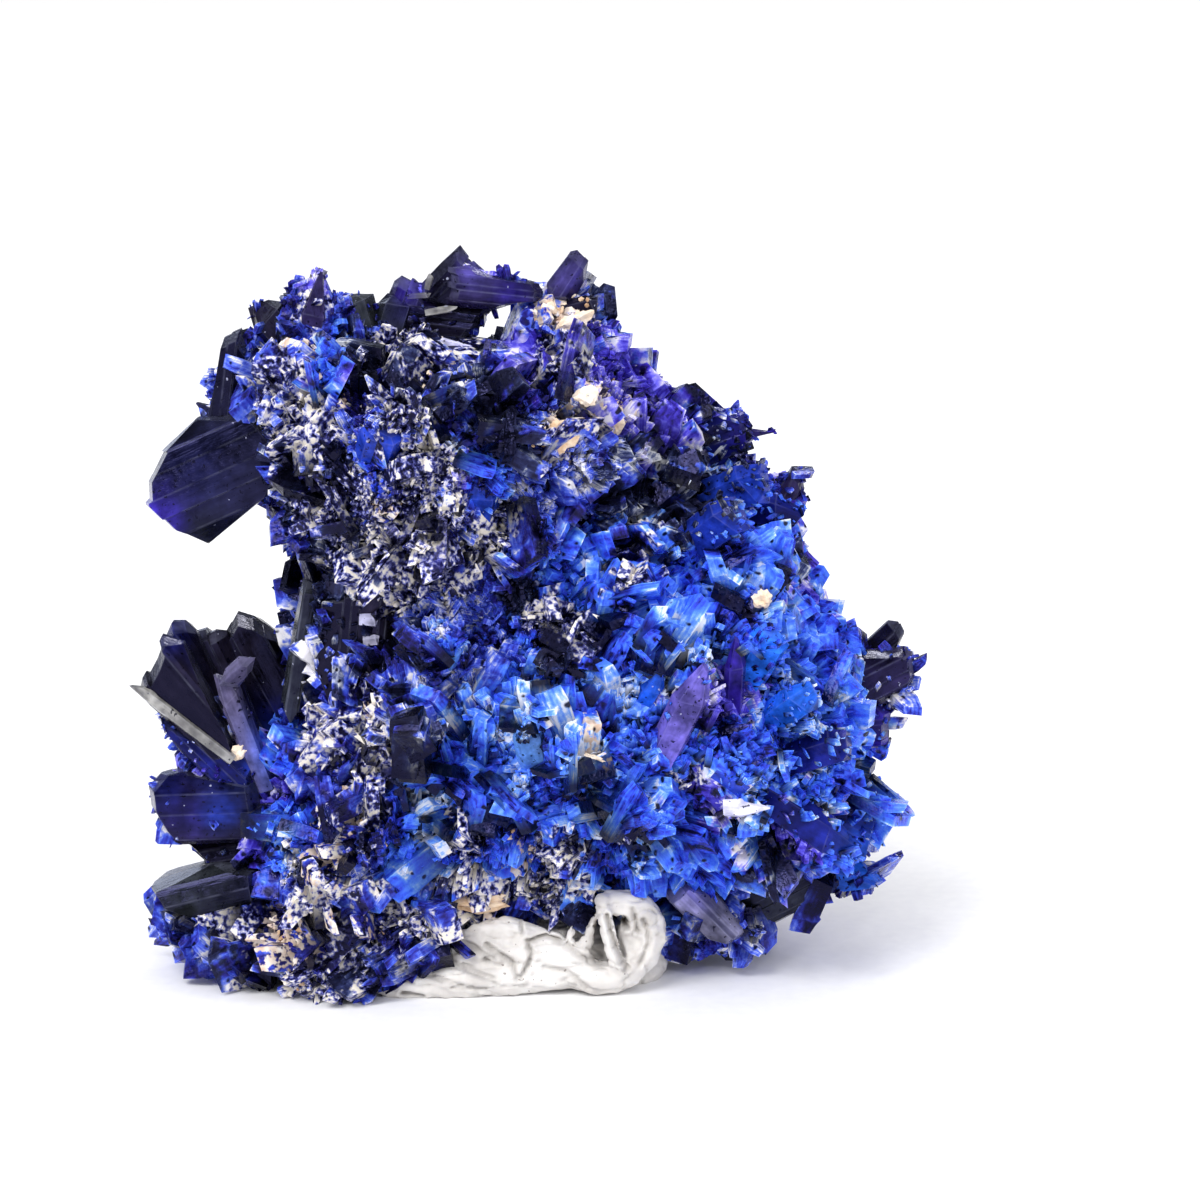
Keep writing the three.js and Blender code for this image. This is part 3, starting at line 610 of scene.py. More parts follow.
        # painted shade: dark round holes between the crystals
        hole_shade = bench.fitted(bench.cells(Ripples.HOLES, place)["Distance"], 9.0, -1.1, clamp=True)
        return bench.math("MAXIMUM", bench.times(level, hole_shade), self.DARKEST)

    def dusting(self, bench: Bench) -> Socket:
        """Judge how much clay film lies on the surface.

        Args:
            bench: the material's bench.

        Returns:
            The share's socket, from 0 to 1.
        """
        speck = bench.fitted(bench.noise(Ripples.DUST, 3.0), 2.6, -1.40)
        dust = bench.math("SUBTRACT", bench.attribute("dust"), 0.72)
        return bench.times(bench.math("ADD", dust, speck), 6.0, clamp=True)


@dataclass(frozen=True)
class LargeCrystalFinish(Finish):
    """Glassy azurite of a large crystal: its own shade, growth lines, painted highlights along its edges, and
    a few pits of painted shade and specks.
    """

    LINES = 3.4
    FINE_LINES = 9.0
    DRAWN_OUT = 0.10
    PIT_ABOVE = 0.67
    FLECK_ABOVE = 0.775

    def build(self) -> Material:
        """Make the material.

        Returns:
            The material.
        """
        material, bench, shader = self.start()
        shade = bench.attribute("shade", "Color")
        behind = bench.times(bench.parts(bench.place())[1], 1.0 / MM)
        along = bench.times(bench.attribute("along"), self.DRAWN_OUT)
        lengthways = bench.joined(bench.attribute("across"), along, behind)
        lines = bench.noise(self.LINES, 4.0, lengthways)
        mottle = bench.noise(Ripples.MOTTLE, 4.0)
        level = bench.fitted(bench.fitted(bench.noise(Ripples.GLOOM, 5.0), 3.0, -1.0, clamp=True), 1.0, 0.25)
        level = bench.times(level, bench.fitted(mottle, 2.4, -0.2))
        level = bench.times(level, bench.fitted(lines, 1.3, 0.35))
        colour = bench.mix(1.0, shade, bench.grey(level), "MULTIPLY")
        # painted highlight: the edges are drawn lighter, in patches
        edge_light_patches = bench.fitted(bench.noise(Ripples.EDGE_LIGHT, 2.0), 3.0, -1.0, clamp=True)
        edge = bench.times(bench.math("POWER", bench.attribute("edge"), 2.0), edge_light_patches)
        colour = bench.mix(bench.times(edge, 0.5), colour, bench.mix(0.22, shade, EDGE_HIGHLIGHT))
        # painted shade: small dark pits scattered over the large crystals
        pits = bench.math("GREATER_THAN", bench.noise(Ripples.PITS, 2.0), self.PIT_ABOVE)
        colour = bench.mix(bench.times(pits, 0.85), colour, PIT_SHADE)
        flecks = bench.math("GREATER_THAN", bench.noise(Ripples.FLECKS, 1.0), self.FLECK_ABOVE)
        height = bench.fitted(bench.noise(self.FINE_LINES, 2.0, lengthways), 0.4, lines)
        bench.fill(shader, {
            "Base Color": bench.mix(bench.times(flecks, 0.6), colour, FLECK),
            "Roughness": bench.fitted(mottle, 0.35, 0.02),
            "IOR": 1.6, "Specular IOR Level": 0.2, "Specular Tint": GLEAM,
            "Normal": bench.bump(bench.fitted(mottle, 1.2, height), 0.30),
        })
        return material


@dataclass(frozen=True)
class PuttyFinish(Finish):
    """Kneaded white putty, a little grey, with a few dark specks, dirt and painted shade in its creases, and
    painted shade in its cavity.
    """

    SPECK_ABOVE = 0.745

    def build(self) -> Material:
        """Make the material.

        Returns:
            The material.
        """
        material, bench, shader = self.start()
        # dirt and painted shade in the creases, painted shade in the cavity
        grime = bench.times(bench.attribute("grime"), bench.fitted(bench.noise(1500.0), 1.2, 0.3))
        colour = bench.mix(grime, bench.ramp(bench.noise(420.0, 4.0), PUTTY_WHITES), PUTTY_DIRT_AND_SHADE)
        specks = bench.math("GREATER_THAN", bench.noise(2600.0, 1.0), self.SPECK_ABOVE)
        bench.fill(shader, {
            "Base Color": bench.mix(bench.times(specks, 0.7), colour, PUTTY_SPECK),
            "Roughness": 0.62, "Subsurface Weight": 0.1, "Subsurface Radius": (1.0, 0.8, 0.7),
            "Subsurface Scale": 0.5 * MM, "Normal": bench.bump(bench.noise(2200.0, 4.0), 0.4),
        })
        return material


@dataclass(frozen=True)
class ClayFinish(Finish):
    """Tan and cream clay, each grain in its own tone."""

    def build(self) -> Material:
        """Make the material.

        Returns:
            The material.
        """
        material, bench, shader = self.start()
        chance = bench.parts(bench.attribute("luck", "Vector"))[0]
        blend = bench.fitted(chance, 0.55, bench.times(bench.noise(1800.0, 3.0), 0.6))
        bench.fill(shader, {
            "Base Color": bench.ramp(blend, CREAMS), "Roughness": 0.8,
            "Normal": bench.bump(bench.noise(4200.0, 3.0), 0.6),
        })
        return material


@dataclass(frozen=True)
class PaperFinish(Finish):
    """The plain white surface under the specimen."""

    def build(self) -> Material:
        """Make the material.

        Returns:
            The material.
        """
        material, bench, shader = self.start()
        colour = bench.ramp(bench.noise(1300.0, 3.0), PAPER_WHITES)
        bench.fill(shader, {"Base Color": colour, "Roughness": 0.9})
        return material


def linked(made: Piece) -> Piece:
    """Link a new object to the scene and return it."""
    bpy.context.scene.collection.objects.link(made)
    return made


def mesh_object(name: str, points: list, faces: list) -> Piece:
    """Make a new linked object at the origin.

    Args:
        name: its name.
        points: vertex positions in metres.
        faces: vertex numbers of each face.

    Returns:
        The object.
    """
    mesh = bpy.data.meshes.new(name)
    mesh.from_pydata([tuple(point) for point in points], [], [tuple(face) for face in faces])
    mesh.update()
    return linked(bpy.data.objects.new(name, mesh))


def tube_faces(base: int, rings: int, count: int) -> list[tuple[int, ...]]:
    """Return the faces of a closed tube.

    Args:
        base: number of its first point.
        rings: how many rings of points it has.
        count: points to the ring.

    Returns:
        The sides ring by ring, then both ends.
    """
    faces: list[tuple[int, ...]] = []
    for start in range(base, base + (rings - 1) * count, count):
        for k in range(count):
            a, b = start + k, start + (k + 1) % count
            faces.append((a, b, b + count, a + count))
    faces.append(tuple(base + k for k in reversed(range(count))))
    faces.append(tuple(base + (rings - 1) * count + k for k in range(count)))
    return faces


def triples(rows: bpy.types.bpy_prop_collection, key: str) -> Array:
    """Read three numbers from each row of a mesh's data.

    Args:
        rows: the mesh's vertices or normals.
        key: what to read.

    Returns:
        One row for each.
    """
    flat = np.empty(len(rows) * 3, np.float32)
    rows.foreach_get(key, flat)
    return flat.reshape(-1, 3).astype(float)


def positions(mesh: Mesh) -> Array:
    """Return a mesh's vertex positions in millimetres, one row each."""
    return triples(mesh.vertices, "co") / MM


def set_positions(mesh: Mesh, points: Array) -> None:
    """Move a mesh's vertices to positions given in millimetres."""
    mesh.vertices.foreach_set("co", np.ascontiguousarray(points * MM, np.float32).ravel())
    mesh.update()


def vertex_normals(mesh: Mesh) -> Array:
    """Return a mesh's vertex normals, one row each."""
    return triples(mesh.vertex_normals, "vector")


def store(mesh: Mesh, name: str, values: Array) -> None:
    """Store a value for each vertex as a named attribute.

    Args:
        mesh: the mesh.
        name: the attribute's name.
        values: one, three or four numbers for each vertex.
    """
    wide = 1 if values.ndim == 1 else values.shape[1]
    kind, key = {1: ("FLOAT", "value"), 3: ("FLOAT_VECTOR", "vector"), 4: ("FLOAT_COLOR", "color")}[wide]
    attribute = mesh.attributes.new(name, kind, "POINT")
    attribute.data.foreach_set(key, np.ascontiguousarray(values, np.float32).ravel())


def mark_faces(mesh: Mesh) -> None:
    """Store each corner's place on its four-sided facet, from 0 to 1 both ways.

    Args:
        mesh: a mesh whose facets all have four sides.
    """
    rows = [((0, 0, 0), (1, 0, 0), (1, 1, 0), (0, 1, 0))] * len(mesh.polygons)
    attribute = mesh.attributes.new("face", "FLOAT_VECTOR", "CORNER")
    attribute.data.foreach_set("vector", np.array(rows, np.float32).ravel())


def fixed(made: Piece) -> Piece:
    """Turn an object's evaluated result into its plain mesh, and drop its modifiers.

    Args:
        made: the object.

    Returns:
        The same object.
    """
    graph = bpy.context.evaluated_depsgraph_get()
    result = bpy.data.meshes.new_from_object(made.evaluated_get(graph))
    made.modifiers.clear()
    made.data = result
    return made


def dress(made: Piece, material: Material, slot: str, *nodes: str) -> None:
    """Give a piece its material and body, and hide the nodes that it stands for.

    Args:
        made: the piece.
        material: its material.
        slot: the record's material slot; not used.
        nodes: the frame's nodes that it replaces.
    """
    made.data.materials.clear()
    made.data.materials.append(material)
    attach(made, "root")
    if nodes:
        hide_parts(*nodes)
    triangles = sum(len(face.vertices) - 2 for face in made.data.polygons)
    LOG.info("%s: %d triangles", made.name, triangles)


def ripple(points: Array, scale: float, shift: float = 0.0) -> Array:
    """Return smooth noise at each point, from -1 to 1."""
    return np.array([noise.noise(Vector(point) * scale + Vector((shift, shift, shift))) for point in points])


@dataclass(frozen=True)
class Glow:
    """A patch of another shade inside the large crystals."""

    patch: Patch
    shade: Shade
    strength: float


GLOWS = tuple(Glow(Patch(*place), shade, strength) for *place, shade, strength in (
    (-20.8, 26.6, 1.3, Shade.VIOLET, 0.95), (-19.9, 25.7, 0.9, Shade.VIOLET, 0.9),
    (-18.2, 25.6, 1.0, Shade.OLIVE, 0.9), (-19.4, 9.6, 1.3, Shade.INDIGO, 0.95),
    (-17.4, 10.0, 0.9, Shade.ROYAL, 0.9), (-20.6, 10.9, 1.0, Shade.NAVY, 0.8),
    (-20.0, 8.2, 0.9, Shade.CLARET, 0.9), (-14.2, 12.2, 1.3, Shade.ELECTRIC, 0.9),
    (-14.8, 14.4, 1.0, Shade.NAVY, 0.9), (-19.9, 19.6, 0.7, Shade.NAVY, 0.9),
    (-3.2, 39.4, 0.9, Shade.LAVENDER, 0.5), (-1.0, 38.4, 0.8, Shade.VIOLET, 0.8),
    (-6.9, 38.3, 0.8, Shade.VIOLET, 0.9), (1.8, 39.4, 0.9, Shade.LAVENDER, 0.7),
    (-14.6, 5.6, 1.2, Shade.NAVY, 0.9), (19.0, 8.0, 1.6, Shade.ELECTRIC, 0.8),
    (17.2, 9.4, 1.4, Shade.NAVY, 0.9), (18.6, 5.2, 1.3, Shade.ELECTRIC, 0.9),
    (12.0, 30.5, 1.2, Shade.VIOLET, 0.5), (-18.4, 29.2, 1.6, Shade.NAVY, 0.25),
    (9.0, 5.4, 1.2, Shade.LAVENDER, 0.4),
))


@dataclass
class LargeCrystal:
    """What the large crystals share: the shade of each point, and their place in the frame."""

    name: str
    shade: Shade

    def paint(self, points: Array, levels: Array) -> Array:
        """Return the colour of each point.

        Args:
            points: positions in millimetres.
            levels: how far each is from the deep to the bright colour.

        Returns:
            Red, green, blue and 1 for each point.
        """
        deep, bright = (np.array(colour) for colour in self.shade.value)
        colours = deep + (bright - deep) * levels[:, None]
        for spot in GLOWS:
            weight = (spot.patch.weight(points) * spot.strength)[:, None]
            near, far = (np.array(colour) for colour in spot.shade.value)
            colours = colours * (1 - weight) + (near + (far - near) * levels[:, None]) * weight
        return np.concatenate([colours, np.ones((len(points), 1))], axis=1)


@dataclass
class TabularCrystal(LargeCrystal):
    """A tabular crystal with growth steps inside one outline.

    Args:
        depth: Y of its middle, in millimetres.
        thick: its thickness.
        outline: its outline in the front plane as X and Z.
        bearing: the angle of its growth lines from +X towards +Z, in degrees.
        laths: how many bands of growth it has.
        relief: how far the bands step, as a share of the thickness.
        cover: share of it that the fine crystals still cover.
    """

    depth: float
    thick: float
    outline: tuple[tuple[float, float], ...]
    bearing: float
    laths: int = 7
    relief: float = 0.10
    cover: float = 0.0

    SPANS = 5
    JITTER = 0.42
    LEVELS = (0.2, 0.8)
    SHORTER = 0.05
    PROUD = 1.04
    ROUNDED = 0.42
    RIM_THICK = 0.30
    RIM_WIDE = 0.45
    END_THICK = 0.22
    SHORTEST = 0.04

    def plain(self) -> bool:
        """Return whether next to no fine crystals cover it."""
        return self.cover < 0.1

    def corners(self) -> Array:
        """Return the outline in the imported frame."""
        return np.array(self.outline) - np.array([DRAWN_MIDDLE[0], 0.0])

    def middle_depth(self) -> float:
        """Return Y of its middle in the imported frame."""
        return self.depth - DRAWN_MIDDLE[1]

    def contains(self, points: Array, margin: float, proud: float = 0.0) -> Array:
        """Find the points inside the outline and the thickness.

        Args:
            points: positions in millimetres.
            margin: how far outside the outline still counts as inside.
            proud: how much further than that in front and behind.

        Returns:
            True for each point inside.
        """
        corners = self.corners()
        middle = corners.mean(axis=0)
        grown = middle + (corners - middle) * (1 + margin / np.abs(corners - middle).max())
        x, z = points[:, 0], points[:, 2]
        inside = np.zeros(len(points), bool)
        for (ax, az), (bx, bz) in zip(grown, np.roll(grown, -1, axis=0)):
            if az != bz:
                inside ^= ((az > z) != (bz > z)) & (x < (bx - ax) * (z - az) / (bz - az) + ax)
        return inside & (np.abs(points[:, 1] - self.middle_depth()) < self.thick / 2 + margin + proud)

    def chord(self, local: list[tuple[float, float]], across: float) -> tuple[float, float] | None:
        """Find where a growth line at one offset enters and leaves the outline.

        Args:
            local: the outline along and across the growth lines.
            across: the offset.

        Returns:
            Both ends, or None where it misses.
        """
        hits = []
        for (u0, v0), (u1, v1) in zip(local, local[1:] + local[:1]):
            if (v0 > across) != (v1 > across):
                hits.append(u0 + (u1 - u0) * (across - v0) / (v1 - v0))
        return (min(hits), max(hits)) if len(hits) > 1 else None

    def build(self, shell: "CrystalShell", dice: random.Random) -> None:
        """Add the crystal to a shell, as one body with growth steps.

        Args:
            shell: the mesh that is being gathered.
            dice: a seeded source of random numbers.
        """
        angle = math.radians(self.bearing)
        along = np.array([math.cos(angle), math.sin(angle)])
        across = np.array([-along[1], along[0]])
        corners = self.corners()
        middle = corners.mean(axis=0)
        local = [(float((c - middle) @ along), float((c - middle) @ across)) for c in corners]
        low, high = min(v for _, v in local), max(v for _, v in local)
        step = (high - low) / self.laths
        inner = [low + step * (k + dice.uniform(-self.JITTER, self.JITTER)) for k in range(1, self.laths)]
        cuts = [low, *inner, high]
        rings = []
        for near, far in zip(cuts, cuts[1:]):
            band = Band(
                near, far, 1.0 - dice.uniform(0, self.relief), dice.uniform(-0.5, 0.5) * self.relief,
                dice.uniform(0.0, self.SHORTER), dice.uniform(0.0, self.SHORTER), dice.uniform(*self.LEVELS),
            )
            for place, edge in band.stations([v for _, v in local]):
                ends = self.chord(local, min(max(place, low + 0.03), high - 0.03))
                if ends:
                    rings.append(self.ring(band, place, edge, ends, (low, high), (middle, along, across)))
        shell.add_tube(rings, self)

    def ring(
        self, band: "Band", place: float, edge: float, ends: tuple[float, float],
        span: tuple[float, float], axes: tuple,
    ) -> list[tuple]:
        """Return the section of the crystal across its growth lines at one offset.

        Args:
            band: the band of growth that the section is in.
            place: the offset across the growth lines.
            edge: 1 where the section is on the edge of a step.
            ends: where the growth lines enter and leave the outline.
            span: lowest and highest offset of the outline.
            axes: the crystal's middle, and its directions along and across.

        Returns:
            Corners of the ring: x, y, z, along, across, level and edge.
        """
        middle, along, across = axes
        start = ends[0] + band.start * (ends[1] - ends[0])
        stop = ends[1] - band.stop * (ends[1] - ends[0])
        length = max(stop - start, self.SHORTEST)
        off = abs(place - sum(span) / 2) / ((span[1] - span[0]) / 2)
        rim = min(1.0, self.RIM_THICK + min(place - span[0], span[1] - place) / self.RIM_WIDE)
        half = self.thick / 2 * band.height * (self.PROUD - self.ROUNDED * min(1.0, off) ** 3) * rim
        half *= 1.0 + band.tilt * (place - band.near) / max(band.far - band.near, 0.1)
        bevel = min(0.24 * length, half * 0.75, 0.5)
        soft = min(0.09, 0.1 * length)
        flat = length - 2 * bevel - 2 * soft
        inner = [bevel + soft + flat * k / self.SPANS for k in range(self.SPANS + 1)]
        row = [(0.0, self.END_THICK, 1.0), (bevel, 1.0, 1.0)] + [(reach, 1.0, edge) for reach in inner]
        row += [(length - bevel, 1.0, 1.0), (length, self.END_THICK, 1.0)]
        ring = []
        for side, reaches in ((-1.0, row), (1.0, row[::-1])):
            for reach, thin, sharp in reaches:
                x, z = middle + along * (start + reach) + across * place
                y = self.middle_depth() + side * half * thin
                ring.append((x, y, z, start + reach, place, band.level, sharp))
        return ring


@dataclass(frozen=True)
class Band:
    """A band of growth between two steps of a tabular crystal.

    Args:
        near: where it begins across the growth lines.
        far: where it ends.
        height: its thickness as a share of the crystal's.
        tilt: how much thicker it is at its far side.
        start: how much of its length is missing at one end.
        stop: how much is missing at the other.
        level: how bright it is between the deep and the bright shade.
    """

    near: float
    far: float
    height: float
    tilt: float
    start: float
    stop: float
    level: float

    def stations(self, knees: list[float]) -> list[tuple[float, float]]:
        """List the offsets that need a section.

        Args:
            knees: offsets at which the outline turns.

        Returns:
            The offsets in order, each with 1 on the edge of the step.
        """
        thin = min(0.02, (self.far - self.near) * 0.1)
        wide = min(0.10, (self.far - self.near) * 0.3)
        places = [(self.near + thin, 1.0), (self.near + wide, 0.0)]
        places += [(self.far - wide, 0.0), (self.far - thin, 1.0)]
        places += [(knee, 0.0) for knee in knees if self.near + wide * 1.3 < knee < self.far - wide * 1.3]
        return sorted(places)


@dataclass
class PrismCrystal(LargeCrystal):
    """A prism that narrows from its shoulder to its end.

    Args:
        root: where it grows from, in the part's drawing.
        bearing: its angle in the front plane from +X towards +Z, in degrees.
        lean: how far it tips to the front, in degrees.
        size: length, width and thickness in millimetres.
        habit: its shape.
        cover: share of it that a crust of fine crystals covers.
    """

    root: Spot
    bearing: float
    lean: float
    size: Spot
    habit: Habit
    cover: float = 0.12

    def axes(self) -> tuple[Vector, Vector, Vector]:
        """Work out the directions of the prism.

        Returns:
            Along, across and through it.
        """
        turn, tip = math.radians(self.bearing), math.radians(self.lean)
        along = Vector((math.cos(turn) * math.cos(tip), -math.sin(tip), math.sin(turn) * math.cos(tip)))
        side = Vector((0, -1, 0)).cross(along).normalized()
        return along, side, along.cross(side)

    def contains(self, points: Array, margin: float) -> Array:
        """Find the points in the prism or just behind it.

        Args:
            points: positions in millimetres.
            margin: how far outside it still counts as inside.

        Returns:
            True for each point inside.
        """
        away = points - np.array(Vector(self.root) - Vector((*DRAWN_MIDDLE, 0)))
        along, side, deep = (away @ np.array(axis) for axis in self.axes())
        length, width, thick = self.size
        beside = (np.abs(side) < width * 0.5 + margin) & (np.abs(deep) < thick * 0.5 + 0.5 + margin)
        return (along > -margin) & (along < length + margin) & beside

    SECTION = ((0.5, 0.08), (0.28, 0.5), (-0.34, 0.5), (-0.5, -0.06), (-0.26, -0.5), (0.34, -0.5))
    PROUD = 1.06
    RIM = 0.09

    def build(self, shell: "CrystalShell", dice: random.Random) -> None:
        """Add the prism to a shell.

        Args:
            shell: the mesh that is being gathered.
            dice: a seeded source of random numbers.
        """
        along, side, deep = self.axes()
        start = Vector(self.root) - Vector((*DRAWN_MIDDLE, 0))
        length, width, thick = (size * self.PROUD for size in self.size)
        shoulder, end_width, end_thick, slant = self.habit.value
        near = self.RIM / length
        stations = [(0.0, 0.9, 0.9, 0.0, 0.0), (0.3, 0.97, 0.97, 0.0, 0.0)]
        stations += [(shoulder - near, 1.0, 1.0, -slant, 0.0), (shoulder, 1.0, 1.0, -slant, 1.0)]
        for place in (shoulder + near, 1.0 - near, 1.0):
            share = (place - shoulder) / (1.0 - shoulder)
            wide, high = 1.0 + (end_width - 1.0) * share, 1.0 + (end_thick - 1.0) * share
            stations.append((place, wide, high, slant * (2 * share - 1.0), float(place == 1.0)))
        level = dice.uniform(0.25, 0.75)
        rings = []
        for place, wide, high, lift, edge in stations:
            ring = []
            for u, v, corner in self.section(width, thick):
                reach = length * (place + lift * u)
                point = start + along * reach + side * (u * width * wide) + deep * (v * thick * high)
                ring.append((*point, reach, u * width, level + 0.25 * v, max(edge, corner)))
            rings.append(ring)
        shell.add_tube(rings, self)

    def section(self, width: float, thick: float) -> list[Spot]:
        """List the points round the prism's section.

        Args:
            width: its width in millimetres.
            thick: its thickness in millimetres.

        Returns:
            The points, each with 1 on a corner and 0 beside it.
        """
        points = []
        for (u, v), (next_u, next_v) in zip(self.SECTION, self.SECTION[1:] + self.SECTION[:1]):
            share = min(0.3, self.RIM / math.hypot((next_u - u) * width, (next_v - v) * thick))
            points.append((u, v, 1.0))
            points += [(u + (next_u - u) * t, v + (next_v - v) * t, 0.0) for t in (share, 1.0 - share)]
        return points


class CrystalShell:
    """Gathers large crystals into one mesh with their shades and growth lines."""

    def __init__(self) -> None:
        """Start with nothing gathered."""
        self.points: list[Spot] = []
        self.faces: list[tuple[int, ...]] = []
        self.values: list[Spot] = []
        self.colours: list[Array] = []
        self.crust: list[float] = []

    def add_tube(self, rings: list[list[tuple]], crystal: LargeCrystal) -> None:
        """Add a closed tube.

        Args:
            rings: rings of corners, each corner x, y, z, along, across, level and edge.
            crystal: the crystal that it belongs to, for its shade.
        """
        flat = [corner for ring in rings for corner in ring]
        self.faces += tube_faces(len(self.points), len(rings), len(rings[0]))
        self.points += [corner[:3] for corner in flat]
        self.values += [(corner[3], corner[4], corner[6]) for corner in flat]
        self.crust += [crystal.cover] * len(flat)
        levels = np.clip(np.array([corner[5] for corner in flat]), 0, 1)
        self.colours.append(crystal.paint(np.array([corner[:3] for corner in flat]), levels))

    def piece(self, name: str) -> Piece:
        """Make an object of the gathered mesh.

        Args:
            name: its name.

        Returns:
            The object.
        """
        made = mesh_object(name, [Vector(point) * MM for point in self.points], self.faces)
        work = bmesh.new()
        work.from_mesh(made.data)
        bmesh.ops.recalc_face_normals(work, faces=work.faces)
        work.to_mesh(made.data)
        work.free()
        for name, column in zip(("along", "across", "edge"), np.array(self.values).T):
            store(made.data, name, column)
        store(made.data, "shade", np.concatenate(self.colours))
        return made


